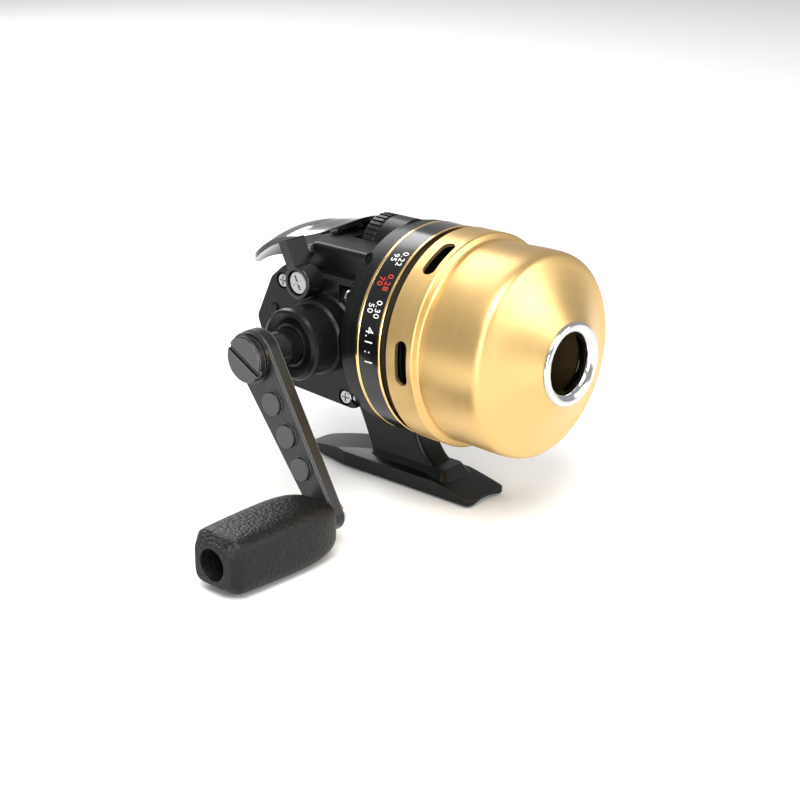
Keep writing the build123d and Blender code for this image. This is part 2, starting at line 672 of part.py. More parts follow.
def nose_ring():
    """Hard chromed line guide: rounded lip, straight throat, flared back."""
    front = NOSE_S + NOSE_RING_PROUD
    back = NOSE_S - NOSE_NECK_LENGTH
    neck = NOSE_R - 1.2 - SEAT
    lip_half = (NOSE_R - NOSE_BORE_R) / 2
    edges = [
        Line((neck, back), (neck, NOSE_S + SEAT)),
        Line((neck, NOSE_S + SEAT), (NOSE_R, NOSE_S + SEAT)),
        Bezier((NOSE_R, NOSE_S + SEAT), (NOSE_R + 0.05, front + 0.25),
               (NOSE_R - lip_half * 0.7, front + 0.3), (NOSE_BORE_R + lip_half * 0.9, front)),
        Bezier((NOSE_BORE_R + lip_half * 0.9, front), (NOSE_BORE_R + 0.3, front - 0.5),
               (NOSE_BORE_R, front - 1.2), (NOSE_BORE_R, NOSE_S - 1.6)),
        Bezier((NOSE_BORE_R, NOSE_S - 1.6), (NOSE_BORE_R, back + 1.0),
               (NOSE_BORE_R + 0.4, back + 0.2), (NOSE_BORE_R + 1.1, back)),
        Line((NOSE_BORE_R + 1.1, back), (neck, back)),
    ]
    return revolve(Plane.XZ * make_face(edges), Axis.Z)


# ---- spool and drag -----------------------------------------------------------------------
def spool():
    end = SPOOL_BACK + SPOOL_LENGTH
    bore = POST_R + RUN
    profile = [
        (bore, SPOOL_BACK), (SPOOL_R - 0.4, SPOOL_BACK), (SPOOL_R, SPOOL_BACK + 0.4),
        (SPOOL_R, SPOOL_BACK + SPOOL_FLANGE), (ARBOR_R, SPOOL_BACK + SPOOL_FLANGE),
        (ARBOR_R, end - SPOOL_FLANGE), (SPOOL_R, end - SPOOL_FLANGE),
        (SPOOL_R, end - 0.4), (SPOOL_R - 0.4, end), (bore, end),
    ]
    return turned(profile)


def line_winding():
    start = SPOOL_BACK + SPOOL_FLANGE + SEAT
    end = SPOOL_BACK + SPOOL_LENGTH - SPOOL_FLANGE - SEAT
    inner = ARBOR_R + SEAT
    edges = [
        Line((inner, end), (inner, start)),
        Line((inner, start), (LINE_R - 0.7, start)),
        ThreePointArc((LINE_R - 0.7, start), (LINE_R, (start + end) / 2), (LINE_R - 0.7, end)),
        Line((LINE_R - 0.7, end), (inner, end)),
    ]
    return revolve(Plane.XZ * make_face(edges), Axis.Z)


def drag_washers():
    first = FRONT_WALL + SEAT
    second = first + WASHER_T + SEAT
    inner = POST_R + SEAT
    pair = [tube(WASHER_R, inner, first, first + WASHER_T),
            tube(WASHER_R - 0.8, inner, second, second + WASHER_T)]
    return Compound(children=pair)


def spool_clip():
    """Split clip in the post's groove that keeps the spool on."""
    clip = tube(CLIP_R, CLIP_GROOVE_R + SEAT, CLIP_S + SEAT, CLIP_S + CLIP_T)
    return clip - block(-1.6, 1.6, 0, CLIP_R + 1, CLIP_S - 1, CLIP_S + CLIP_T + 1)


def knurled(radius, s_from, s_to, up):
    """Dial with square notches round its rim."""
    dial = disc(radius, s_from, s_to, up=up)
    edges = dial.edges().filter_by(GeomType.CIRCLE)
    dial = chamfer(edges, 0.35)
    notch = Box(0.75, 0.9, s_to - s_from + 2)
    cuts = []
    for i in range(KNURLS):
        turn = Pos(0, up, (s_from + s_to) / 2) * Rot(0, 0, i * 360 / KNURLS)
        cuts.append(turn * Pos(0, radius, 0) * notch)
    return dial - cuts


def drag_wheel():
    back = -DRAG_BACK - DRAG_WIDTH
    dial = knurled(DRAG_R, back, -DRAG_BACK, DRAG_UP)
    boss = disc(4.2, back - 1.9, back + 0.5, up=DRAG_UP)
    boss = fillet(boss.edges().filter_by(GeomType.CIRCLE).sort_by(Axis.Z)[0], 1.2)
    groove = tube(DRAG_R - 1.6, 5.6, -DRAG_BACK - 0.8, -DRAG_BACK + 1, up=DRAG_UP)
    return dial + boss - groove - disc(DRAG_SCREW_R + SEAT, back - 0.6, 0, up=DRAG_UP)


def drag_screw():
    return disc(DRAG_SCREW_R, -DRAG_BACK - DRAG_WIDTH - 0.5, -7.0, up=DRAG_UP)


def drag_nut():
    """Square nut with a stem that carries the drag's load forward to the shoe."""
    half = DRAG_NUT_W / 2
    nut = block(-half, half, DRAG_UP - half, DRAG_UP + half, -9.3, -5.9)
    nut = nut - disc(DRAG_SCREW_R + RUN, -10, -6.3, up=DRAG_UP)
    return nut + disc(DRAG_STEM_R, -6.0, 0.2, up=DRAG_UP)


def drag_shoe():
    """Pad on the nut's stem that bears on the spool's rear flange."""
    shoe = disc(DRAG_SHOE_R, -0.3, DRAG_SHOE_FRONT, up=DRAG_UP)
    shoe = chamfer(shoe.edges().filter_by(GeomType.CIRCLE).sort_by(Axis.Z)[-1], 0.4)
    return shoe - disc(DRAG_STEM_R + SEAT, -1, 0.2 + SEAT, up=DRAG_UP)


# ---- rotor --------------------------------------------------------------------------------
def rotor():
    """Spinner head: a thin cup over the spool with a domed front and a hub."""
    inner = ROTOR_R - ROTOR_WALL
    bore = SHAFT_R + SEAT
    shoulder = ROTOR_FACE - ROTOR_SHOULDER
    back_face = ROTOR_FACE - ROTOR_WALL - 0.3
    bulge = 0.29 * ROTOR_SHOULDER
    edges = [
        Line((inner, ROTOR_BACK), (ROTOR_R, ROTOR_BACK)),
        Line((ROTOR_R, ROTOR_BACK), (ROTOR_R, shoulder)),
        ThreePointArc((ROTOR_R, shoulder), (ROTOR_R - bulge, ROTOR_FACE - bulge),
                      (ROTOR_R - ROTOR_SHOULDER, ROTOR_FACE)),
        Line((ROTOR_R - ROTOR_SHOULDER, ROTOR_FACE), (ROTOR_HUB_R + 3, ROTOR_FACE)),
        Line((ROTOR_HUB_R + 3, ROTOR_FACE), (ROTOR_HUB_R, ROTOR_FACE + 0.8)),
        Line((ROTOR_HUB_R, ROTOR_FACE + 0.8), (bore, ROTOR_FACE + 0.8)),
        Line((bore, ROTOR_FACE + 0.8), (bore, SPIN_BACK)),
        Line((bore, SPIN_BACK), (ROTOR_HUB_R, SPIN_BACK)),
        Line((ROTOR_HUB_R, SPIN_BACK), (ROTOR_HUB_R, back_face)),
        Line((ROTOR_HUB_R, back_face), (inner - 2, back_face)),
        ThreePointArc((inner - 2, back_face), (inner - 0.59, back_face - 0.59), (inner, back_face - 2)),
        Line((inner, back_face - 2), (inner, ROTOR_BACK)),
    ]
    cup = revolve(Plane.XZ * make_face(edges), Axis.Z)
    for sign in (0, 180):
        hole = rod(PICKUP_R + SEAT, ROTOR_R - 5, ROTOR_R + 2, 0, PICKUP_S)
        cup = cup - Rot(0, 0, sign) * hole
    groove = tube(BRAKE_R + BRAKE_WIDTH / 2, BRAKE_R - BRAKE_WIDTH / 2, ROTOR_FACE - 0.6, ROTOR_FACE + 1)
    return cup - groove


def main_shaft():
    """Slender shaft with two flats where the pinion drives it."""
    shaft = disc(SHAFT_R, -CAP_BACK + 2.4, SHAFT_FRONT)
    shaft = chamfer(shaft.edges().filter_by(GeomType.CIRCLE), 0.2)
    for sign in (-1, 1):
        low_up, high_up = sorted((sign * SHAFT_FLAT, sign * 3))
        shaft = shaft - block(-3, 3, low_up, high_up, *SHAFT_FLATS)
    return shaft


def rotor_nut():
    nut = extrude(Pos(0, 0, ROTOR_FACE + 0.8 + SEAT) * RegularPolygon(ROTOR_NUT_R, 6), ROTOR_NUT_L)
    nut = nut - disc(SHAFT_R + SEAT, ROTOR_FACE, SHAFT_FRONT + 3)
    return nut & turned([(0, ROTOR_FACE), (ROTOR_NUT_R + 1, ROTOR_FACE),
                         (ROTOR_NUT_R + 0.3, ROTOR_FACE + ROTOR_NUT_L + 0.2),
                         (ROTOR_NUT_R - 0.8, ROTOR_FACE + 0.9 + ROTOR_NUT_L),
                         (0, ROTOR_FACE + 0.9 + ROTOR_NUT_L)])


def pickup_pins():
    pin = rod(PICKUP_R, ROTOR_R - 2.6, ROTOR_R + PICKUP_PROUD, 0, PICKUP_S)
    pin = fillet(pin.edges().filter_by(GeomType.CIRCLE).sort_by(Axis.X)[-1], 0.4)
    return Compound(children=[Rot(0, 0, 0) * pin, Rot(0, 0, 180) * pin])


def brake_ring():
    return tube(BRAKE_R + BRAKE_WIDTH / 2 - SEAT, BRAKE_R - BRAKE_WIDTH / 2 + SEAT,
                ROTOR_FACE - 0.6 + SEAT, ROTOR_FACE + 0.5)


def main_bushing():
    start = POST_LENGTH - 4.5
    bush = tube(POST_BORE_R - SEAT, SHAFT_R + RUN, start, POST_LENGTH + 0.7)
    return bush + tube(POST_R - 0.6, SHAFT_R + RUN, POST_LENGTH + SEAT, POST_LENGTH + 0.7)


# ---- gears --------------------------------------------------------------------------------
def tooth_half(pitch_half, height):
    """Half thickness of a straight-sided tooth at a height above its pitch line."""
    return pitch_half - height * tan(radians(PRESSURE))


def drive_gear():
    """Face gear: a blank on the crank shaft with teeth standing on its inner face."""
    face_x = -PINION_R - GEAR_ROOT
    inner = GEAR_R - GEAR_FACE / 2
    outer = GEAR_R + GEAR_FACE / 2
    blank = rod(outer, face_x - GEAR_BLANK, face_x, 0, CRANK_S)
    hub = rod(CRANK_SHAFT_R + 2.2, face_x - GEAR_BLANK - 2.6, face_x, 0, CRANK_S)
    half = TOOTH_GEAR / 2
    base = tooth_half(half, -GEAR_ROOT - 0.1)
    tip = tooth_half(half, GEAR_TIP)
    corners = [(-base, -GEAR_ROOT - 0.1), (base, -GEAR_ROOT - 0.1), (tip, GEAR_TIP), (-tip, GEAR_TIP)]
    section = make_face(Polyline(*corners, close=True))
    plane = Plane(origin=(-PINION_R, 0, inner), x_dir=(0, -1, 0), z_dir=(0, 0, 1))
    tooth = extrude(plane * section, GEAR_FACE)
    teeth = [Pos(0, 0, CRANK_S) * Rot(i * 360 / GEAR_TEETH, 0, 0) * tooth for i in range(GEAR_TEETH)]
    gear = blank + hub + teeth
    return gear - rod(CRANK_SHAFT_R + SEAT, face_x - 9, face_x - 0.6, 0, CRANK_S)


def pinion():
    """Ten-tooth pinion on two journals, with a flatted bore for the main shaft."""
    back = CRANK_S + GEAR_R - GEAR_FACE / 2 - GAP
    front = CRANK_S + GEAR_R + GEAR_FACE / 2 + GAP
    core = disc(PINION_ROOT_R, back - 2.6, front)
    half = TOOTH_PINION / 2
    corners = [(PINION_ROOT_R - 0.1, -half - 0.10), (PINION_R, -half), (PINION_TIP_R, -half + 0.16),
               (PINION_TIP_R, half - 0.16), (PINION_R, half), (PINION_ROOT_R - 0.1, half + 0.10)]
    tooth = Pos(0, 0, back) * extrude(make_face(Polyline(*corners, close=True)), front - back)
    teeth = ring_of(tooth, PINION_TEETH)
    journal = disc(PINION_HUB_R, front - 0.05, 0.6)
    collar = disc(PINION_ROOT_R + 0.5, back - 2.6, back - 1.8)
    gear = core + joined(teeth) + journal + collar
    bore = disc(SHAFT_R + RUN, -12, 2)
    for sign in (-1, 1):
        low_up, high_up = sorted((sign * (SHAFT_FLAT + RUN), sign * 3))
        bore = bore - block(-3, 3, low_up, high_up, -13, 3)
    return Rot(0, 0, PINION_PHASE) * (gear - Rot(0, 0, -PINION_PHASE) * bore)


# ---- crank --------------------------------------------------------------------------------
def crank_shaft():
    shaft = rod(CRANK_SHAFT_R, ARM_X - 1.0, CRANK_SHAFT_INNER_X - 1.2, 0, CRANK_S)
    return shaft


def ratchet_wheel():
    """Twelve saw teeth; the pawl drops between them when the selector is on."""
    points = []
    for i in range(RATCHET_TEETH):
        angle = 2 * pi * (i + 0.63) / RATCHET_TEETH
        step = 2 * pi / RATCHET_TEETH
        points.append((RATCHET_R * cos(angle), RATCHET_R * sin(angle)))
        low = RATCHET_R - RATCHET_DEPTH
        points.append((low * cos(angle + 0.12 * step), low * sin(angle + 0.12 * step)))
        points.append((low * cos(angle + 0.45 * step), low * sin(angle + 0.45 * step)))
    face = make_face(Polyline(*points, close=True))
    wheel = side_plate(Pos(CRANK_BACK, 0, 0) * face, RATCHET_X, RATCHET_X + RATCHET_T)
    hub = rod(CRANK_SHAFT_R + 1.4, RATCHET_X, RATCHET_X + RATCHET_T + 1.0, 0, CRANK_S)
    return wheel + hub - rod(CRANK_SHAFT_R + SEAT, -30, 0, 0, CRANK_S)


def crank_bushes():
    """Inner and outer plain bearings in the boss."""
    outer = CRANK_SHAFT_R + BUSH_WALL - SEAT
    inner = CRANK_SHAFT_R + RUN
    near = sleeve(outer, inner, DRUM_X + 1.9, DRUM_X + 8.0, 0, CRANK_S)
    far = sleeve(outer, inner, PLUG_X - 6.0, PLUG_X + 0.8, 0, CRANK_S)
    return near, far + sleeve(outer + 1.2, inner, PLUG_X + SEAT, PLUG_X + 0.8, 0, CRANK_S)


def crank_hub():
    """Glossy neck between the boss and the arm."""
    end = ARM_X + ARM_T + SEAT
    root = DRUM_X + 1.3
    profile = [(end, CRANK_SHAFT_R + SEAT), (end, HUB_R + 0.5), (end + 0.6, HUB_R + 0.5),
               (end + 1.0, HUB_R), (root, HUB_R), (root, CRANK_SHAFT_R + SEAT)]
    return turned_x(profile, 0, CRANK_S)


def arm_outline():
    """Tapering arm drawn straight down from the crank axis as origin, y up."""
    eye = Circle(ARM_EYE_R)
    end = Pos(0, -ARM_RADIUS) * Circle(ARM_END_R)
    return make_hull(eye.edges() + end.edges())


def crank_arm():
    """Flat straight arm with a bevelled outer face and three raised discs."""
    plan = Plane(origin=(0, 0, 0), x_dir=(0, 0, -1), z_dir=(1, 0, 0)) * arm_outline()
    arm = extrude(plan, ARM_T)
    outer_edges = arm.faces().sort_by(Axis.X)[0].edges()
    arm = chamfer(outer_edges, ARM_BEVEL)
    for i in range(3):
        spot = -(DISC_FIRST + i * DISC_PITCH) * ARM_RADIUS
        stud = rod(DISC_R, -DISC_HEIGHT, 0.5, spot, 0)
        stud = fillet(stud.edges().filter_by(GeomType.CIRCLE).group_by(Axis.X)[0], 0.35)
        arm = arm + stud
    arm = arm - rod(CRANK_SHAFT_R + SEAT, -1, ARM_T + 1, 0, 0)
    arm = arm - rod(GRIP_PIN_R + SEAT, -1, ARM_T + 1, -ARM_RADIUS, 0)
    return on_arm(arm)


def on_arm(shape):
    """Place what is drawn at the crank axis with the arm pointing straight down."""
    return Pos(ARM_X, 0, CRANK_S) * Rot(-ARM_ANGLE, 0, 0) * shape


def crank_washer():
    return sleeve(COLLAR_R, CRANK_SHAFT_R + SEAT, ARM_X - COLLAR_T, ARM_X - SEAT, 0, CRANK_S)


def crank_nut():
    """Round slotted nut with a bevelled rim."""
    inner_x = ARM_X - COLLAR_T - SEAT
    nut = turned_x([(NUT_X, 0), (NUT_X, NUT_R - 0.35), (NUT_X + 0.35, NUT_R), (inner_x, NUT_R),
                    (inner_x, 0)], 0, CRANK_S)
    nut = nut - rod(CRANK_SHAFT_R + SEAT, ARM_X - 1.1, ARM_X + 5, 0, CRANK_S)
    slot = Box(2.0, NUT_SLOT, 2 * NUT_R + 2)
    return nut - Pos(NUT_X, 0, CRANK_S) * Rot(28, 0, 0) * slot


def grip_pin():
    """Riveted pin: bright head inside the arm, shank through the grip."""
    head_r = ARM_END_R - 0.5
    head = turned_x([(ARM_INNER_X + SEAT, 0), (ARM_INNER_X + SEAT, head_r),
                     (ARM_INNER_X + 0.9, head_r), (ARM_INNER_X + 1.2, head_r - 0.3),
                     (ARM_INNER_X + 1.2, 0)], ARM_UP, GRIP_S)
    end = GRIP_X - GRIP_LENGTH + GRIP_HOLE_DEPTH
    shank = rod(GRIP_PIN_R, end, ARM_INNER_X + 0.2, ARM_UP, GRIP_S)
    return head + shank


def grip_sections(sizes):
    """Rounded rectangles square to the grip's axis from (x, width, height, corner)."""
    faces = []
    for x, width, height, corner in sizes:
        plane = Plane(origin=(x, ARM_UP, GRIP_S), x_dir=(0, 0, -1), z_dir=(-1, 0, 0))
        faces.append(plane * RectangleRounded(width, height, corner))
    return faces


def grip():
    """Soft squared barrel, domed at the arm, bevelled at its far end round a deep hole."""
    outer = GRIP_X - GRIP_LENGTH
    neck = (GRIP_X - 2.8, 13.2, 12.4, 3.6)
    shoulder = (outer + 2.6, 15.2, 13.4, 2.8)
    barrel = loft(grip_sections([neck, (GRIP_X - 11.0, 16.4, 14.6, 3.4),
                                 (GRIP_X - 23.0, 16.2, 14.4, 3.0), shoulder]))
    near_arm = [(GRIP_X, 7.6, 7.4, 3.4), (GRIP_X - 0.7, 10.2, 9.8, 3.6),
                (GRIP_X - 1.6, 12.0, 11.4, 3.6), neck]
    barrel = barrel + loft(grip_sections(near_arm), ruled=True)
    barrel = barrel + loft(grip_sections([shoulder, (outer, 11.6, 10.8, 2.4)]), ruled=True)
    barrel = barrel - rod(GRIP_BUSH_R + SEAT, outer + 5.0, GRIP_X + 1, ARM_UP, GRIP_S)
    return barrel - rod(GRIP_HOLE_R, outer - 1, outer + GRIP_HOLE_DEPTH + 0.1, ARM_UP, GRIP_S)


def grip_bush():
    outer = GRIP_X - GRIP_LENGTH
    return sleeve(GRIP_BUSH_R, GRIP_PIN_R + RUN, outer + GRIP_HOLE_DEPTH + 0.2, GRIP_X - SEAT, ARM_UP, GRIP_S)


def grip_retainer():
    """Push-on cap at the bottom of the end hole that keeps the grip on its pin."""
    end = GRIP_X - GRIP_LENGTH + GRIP_HOLE_DEPTH
    cap = rod(GRIP_HOLE_R - 0.45, end - 1.6, end - SEAT, ARM_UP, GRIP_S)
    return fillet(cap.edges().filter_by(GeomType.CIRCLE).group_by(Axis.X)[0], 0.5)


# ---- thumb lever --------------------------------------------------------------------------
def lever_curve(drop):
    """Top line of the lever from its front end to its tip, lowered by a drop."""
    return [
        Line((LEVER_FRONT, 24.9 - drop), (27.2, 23.4 - drop)),
        Line((27.2, 23.4 - drop), (35.2, 21.8 - drop)),
        ThreePointArc((35.2, 21.8 - drop), (49.6, 16.6 - drop),
                      (LEVER_TIP - 0.35 * drop, 8.6 - 0.4 * drop)),
    ]


def lever_pad():
    """Thin pad crowned across: its side strip turned about a line along s, cut to plan."""
    top = lever_curve(0.0)
    under = lever_curve(LEVER_T)
    ends = [Line(top[0] @ 0, under[0] @ 0), Line(top[-1] @ 1, under[-1] @ 1)]
    strip = Plane(origin=(0, 0, 0), x_dir=(0, 0, -1), z_dir=(1, 0, 0)) * make_face(top + under + ends)
    crown_line = Axis((0, LEVER_CROWN_UP, 0), (0, 0, 1))
    crowned = revolve(strip, crown_line, 360)
    near = Spline((0, LEVER_FRONT), (3.6, LEVER_FRONT + 0.5), (8.4, 25.6), (LEVER_HALF, 32.0),
                  (LEVER_HALF, 47.0), (9.2, 54.2), (5.0, 57.3), (0, LEVER_TIP),
                  tangents=[(1, 0), (-1, 0)])
    edge_far = mirror(near, Plane.YZ)
    plan = make_face([near, edge_far])
    prism = extrude(Plane(origin=(0, -2, 0), x_dir=(1, 0, 0), z_dir=(0, 1, 0)) * plan, 50)
    return crowned & prism


def lever_rib(x):
    """Crescent rib under the pad, from the hub back along the underside."""
    rib_edges = [
        Line((23.2, 18.8), (23.6, 23.0)),
        Line((23.6, 23.0), (35.2, 20.2)),
        ThreePointArc((35.2, 20.2), (41.0, 18.9), (46.2, 16.6)),
        ThreePointArc((46.2, 16.6), (36.0, 16.9), (26.8, 16.6)),
        Line((26.8, 16.6), (23.2, 18.8)),
    ]
    return side_plate(make_face(rib_edges), x - RIB_T / 2, x + RIB_T / 2)


def thumb_lever():
    """Thin crowned pad on three ribs, with a hub on the pivot and an arm to the shaft."""
    hub = rod(LEVER_HUB_R, -LEVER_HALF, LEVER_HALF, LEVER_UP, -LEVER_BACK)
    inset = LEVER_HALF - 3.4
    ribs = [lever_rib(x) for x in (-inset, 0, inset)]
    nose_b = CAP_BACK + 0.3 + NOSE_PAD_R
    arm_profile = [(25.0, 16.6), (26.5, 20.5), (34.4, 20.0), (nose_b + NOSE_PAD_R, 13.0),
                   (nose_b + NOSE_PAD_R, 0), (nose_b - NOSE_PAD_R, 0), (nose_b - NOSE_PAD_R, 10.4),
                   (32.0, 14.2), (28.0, 14.6)]
    arm = side_plate(make_face(Polyline(*arm_profile, close=True)), -2.8, 2.8)
    nose = rod(NOSE_PAD_R, -2.8, 2.8, 0, -nose_b)
    shape = lever_pad() + hub + joined(ribs) + arm + nose
    return shape - rod(LEVER_PIN_R + RUN, -LEVER_HALF - 1, LEVER_HALF + 1, LEVER_UP, -LEVER_BACK)


def lever_pin():
    """Pivot pin through both ears with a cross-recessed head on the handle side."""
    one = screw(LEVER_PIN_R, SCREW_HEAD_R + 0.2, SCREW_HEAD_T, HOUSING_FAR_X - HOUSING_X + 0.2)
    pin = Pos(HOUSING_X - SEAT, LEVER_UP, -LEVER_BACK) * Rot(0, -90, 0) * one
    clip = rod(LEVER_PIN_R + 0.9, HOUSING_FAR_X + SEAT, HOUSING_FAR_X + 0.8, LEVER_UP, -LEVER_BACK)
    return pin + clip


def thrust_cap():
    """Plunger on the shaft's rear end; it slides in the guide bush and never turns."""
    cap = disc(CAP_R, -CAP_BACK, -CAP_FRONT)
    rim = disc(CAP_FLANGE_R, -CAP_BACK, -CAP_BACK + CAP_FLANGE_T)
    return cap + rim - disc(SHAFT_R + RUN, -CAP_BACK + 2.2, -CAP_FRONT + 1)


def guide_bush():
    return tube(CAP_R + BUSH_WALL - SEAT, CAP_R + RUN, -GUIDE_BACK, -GUIDE_BACK + GUIDE_T)


def return_spring():
    """Compression spring between the guide bush and the thrust cap's rim."""
    start = -CAP_BACK + CAP_FLANGE_T + SPRING_WIRE + 0.05
    end = -GUIDE_BACK - SPRING_WIRE - 0.05
    height = end - start
    path = Pos(0, 0, start) * Helix(pitch=height / SPRING_TURNS, height=height, radius=SPRING_R)
    section = Plane(origin=path @ 0, z_dir=path % 0) * Circle(SPRING_WIRE)
    return sweep(section, path=path)


# ---- anti-reverse -------------------------------------------------------------------------
def selector_knob():
    """Round knob with a block paddle, standing on the gear cover."""
    base = HOUSING_X - GEAR_COVER_T - GAP
    face = base - SELECTOR_LENGTH
    knob = rod(SELECTOR_R, face, base, 0, 0)
    knob = fillet(knob.edges().filter_by(GeomType.CIRCLE).group_by(Axis.X)[0], 0.4)
    paddle = block(face, face + PADDLE_LENGTH, 0, PADDLE_REACH, -PADDLE_T / 2, PADDLE_T / 2)
    paddle = fillet(paddle.edges().filter_by(Axis.X).group_by(Axis.Y)[-1], 0.6)
    over = block(base - 0.01, base + 9, -9, SELECTOR_R + 0.6, -9, 9)
    knob = knob + (Rot(-PADDLE_ANGLE, 0, 0) * paddle - over)
    shaft = rod(SELECTOR_SHAFT_R, base - 0.5, CAM_X, 0, 0)
    knob = knob + shaft - rod(SELECTOR_SCREW_R + 0.15, face - 1, face + SELECTOR_RECESS, 0, 0)
    knob = knob - rod(SELECTOR_BOLT_R + SEAT, face, CAM_X + 1, 0, 0)
    return Pos(0, SELECTOR_UP, -SELECTOR_BACK) * knob


def selector_screw():
    face = HOUSING_X - GEAR_COVER_T - GAP - SELECTOR_LENGTH
    one = screw(SELECTOR_BOLT_R, SELECTOR_SCREW_R, SELECTOR_SCREW_T, 6.0)
    turned_one = Rot(-PADDLE_ANGLE, 0, 0) * Rot(0, -90, 0) * one
    seat = face + SELECTOR_RECESS - SEAT
    return Pos(seat, SELECTOR_UP, -SELECTOR_BACK) * turned_one


def selector_cam():
    """Lobe on the selector's shaft that lets the pawl down or lifts it."""
    x0 = CAM_X - 2.0
    lobe = rod(CAM_R, x0, CAM_X - 0.4, SELECTOR_UP, -SELECTOR_BACK)
    return lobe - rod(SELECTOR_SHAFT_R + SEAT, x0 - 1, CAM_X + 1, SELECTOR_UP, -SELECTOR_BACK)


def pawl_pin():
    return rod(PAWL_PIN_R, HOUSING_X - 0.5, RATCHET_X + RATCHET_T + 0.6, PAWL_UP, -PAWL_BACK)


def pawl():
    """Short hooked lever above the ratchet, held just clear of it at rest."""
    eye = sleeve(PAWL_EYE_R, PAWL_PIN_R + RUN, RATCHET_X, RATCHET_X + RATCHET_T, PAWL_UP, -PAWL_BACK)
    tip_b = CRANK_BACK + (RATCHET_R + PAWL_CLEAR) * cos(radians(PAWL_ANGLE))
    tip_u = (RATCHET_R + PAWL_CLEAR) * sin(radians(PAWL_ANGLE))
    finger = [(PAWL_BACK - 1.2, PAWL_UP - 1.0), (PAWL_BACK - 0.6, PAWL_UP + 1.6),
              (tip_b + 0.9, tip_u + 1.7), (tip_b, tip_u), (tip_b + 1.2, tip_u + 0.1)]
    arm = side_plate(make_face(Polyline(*finger, close=True)), RATCHET_X, RATCHET_X + RATCHET_T)
    return eye + (arm - rod(PAWL_PIN_R + 0.6, -30, 0, PAWL_UP, -PAWL_BACK))


# ---- write every node ---------------------------------------------------------------------
def main():
    near_bush, far_bush = crank_bushes()
    nodes = {
        "body_frame": body_frame(),
        "gear_cover": gear_cover(),
        "gear_cover_screws": gear_cover_screws(),
        "cover_dowel": cover_dowel(),
        "flange_screws": flange_screws(),
        "trim_ring": trim_ring(),
        "label_band": label_band(),
        "seal_ring": seal_ring(),
        "front_cover": front_cover(),
        "cover_lock_ring": cover_lock_ring(),
        "nose_ring": nose_ring(),
        "spool": spool(),
        "line_winding": line_winding(),
        "drag_washers": drag_washers(),
        "spool_clip": spool_clip(),
        "drag_wheel": drag_wheel(),
        "drag_screw": drag_screw(),
        "drag_nut": drag_nut(),
        "drag_shoe": drag_shoe(),
        "rotor": rotor(),
        "main_shaft": main_shaft(),
        "rotor_nut": rotor_nut(),
        "pickup_pins": pickup_pins(),
        "brake_ring": brake_ring(),
        "main_bushing": main_bushing(),
        "drive_gear": drive_gear(),
        "pinion": pinion(),
        "crank_shaft": crank_shaft(),
        "ratchet_wheel": ratchet_wheel(),
        "crank_bush_outer": near_bush,
        "crank_bush_inner": far_bush,
        "crank_hub": crank_hub(),
        "crank_arm": crank_arm(),
        "crank_washer": crank_washer(),
        "crank_nut": crank_nut(),
        "grip_pin": grip_pin(),
        "grip": grip(),
        "grip_bush": grip_bush(),
        "grip_retainer": grip_retainer(),
        "thumb_lever": thumb_lever(),
        "lever_pin": lever_pin(),
        "thrust_cap": thrust_cap(),
        "guide_bush": guide_bush(),
        "return_spring": return_spring(),
        "selector_knob": selector_knob(),
        "selector_screw": selector_screw(),
        "selector_cam": selector_cam(),
        "pawl_pin": pawl_pin(),
        "pawl": pawl(),
    }
    for name, shape in nodes.items():
        save(name, shape)
    print(len(nodes), "nodes")


main()
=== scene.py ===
"""Looks of a closed-face spincast reel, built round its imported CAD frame."""
import logging
import math
from dataclasses import dataclass, field
from enum import Enum

import bmesh
import bpy
import numpy as np
from mathutils import Matrix, Vector


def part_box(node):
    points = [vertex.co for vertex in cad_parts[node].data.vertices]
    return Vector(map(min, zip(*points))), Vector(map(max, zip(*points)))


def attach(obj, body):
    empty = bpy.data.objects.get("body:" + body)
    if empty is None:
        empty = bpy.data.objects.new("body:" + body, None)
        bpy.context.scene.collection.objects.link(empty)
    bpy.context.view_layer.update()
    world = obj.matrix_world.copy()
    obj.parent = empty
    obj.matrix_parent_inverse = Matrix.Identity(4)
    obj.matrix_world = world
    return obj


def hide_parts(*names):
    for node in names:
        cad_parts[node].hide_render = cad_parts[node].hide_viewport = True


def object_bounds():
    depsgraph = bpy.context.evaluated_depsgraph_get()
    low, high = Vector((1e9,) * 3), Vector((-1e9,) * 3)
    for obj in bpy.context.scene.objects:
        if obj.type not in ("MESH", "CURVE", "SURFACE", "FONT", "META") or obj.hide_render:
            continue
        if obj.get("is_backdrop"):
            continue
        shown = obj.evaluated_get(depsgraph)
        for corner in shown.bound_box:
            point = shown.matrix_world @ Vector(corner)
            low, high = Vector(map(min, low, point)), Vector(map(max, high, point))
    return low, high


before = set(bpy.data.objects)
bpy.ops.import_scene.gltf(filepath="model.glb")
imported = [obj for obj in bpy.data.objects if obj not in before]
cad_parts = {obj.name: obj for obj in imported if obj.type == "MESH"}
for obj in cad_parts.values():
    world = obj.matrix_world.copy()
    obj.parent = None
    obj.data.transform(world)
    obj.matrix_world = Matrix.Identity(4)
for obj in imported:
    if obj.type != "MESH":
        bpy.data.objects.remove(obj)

log = logging.getLogger("reel")

AXIS_Z = 0.0425        # the reel axis runs along Y at this height above the foot's underside
BAND_BACK = -0.010     # the trim band's rear face, along Y
FLOOR_GAP = 0.0002     # between the foot and the floor
MERGE = 1e-7           # vertices closer than this are one
DUST_SCALE = 90.0      # features per metre of the broad wear in every finish
EDGE_WEAR_AND_HIGHLIGHT_GAIN = 2.4        # how fast the lighter edge colour, partly wear and partly painted highlight, grows as an edge sharpens
EDGE_WEAR_AND_HIGHLIGHT_MOST = 0.85
FACING_FROM = 0.90     # normals with more than this along X count as facing it
FACING_GAIN = 14.0
Socket = bpy.types.NodeSocket


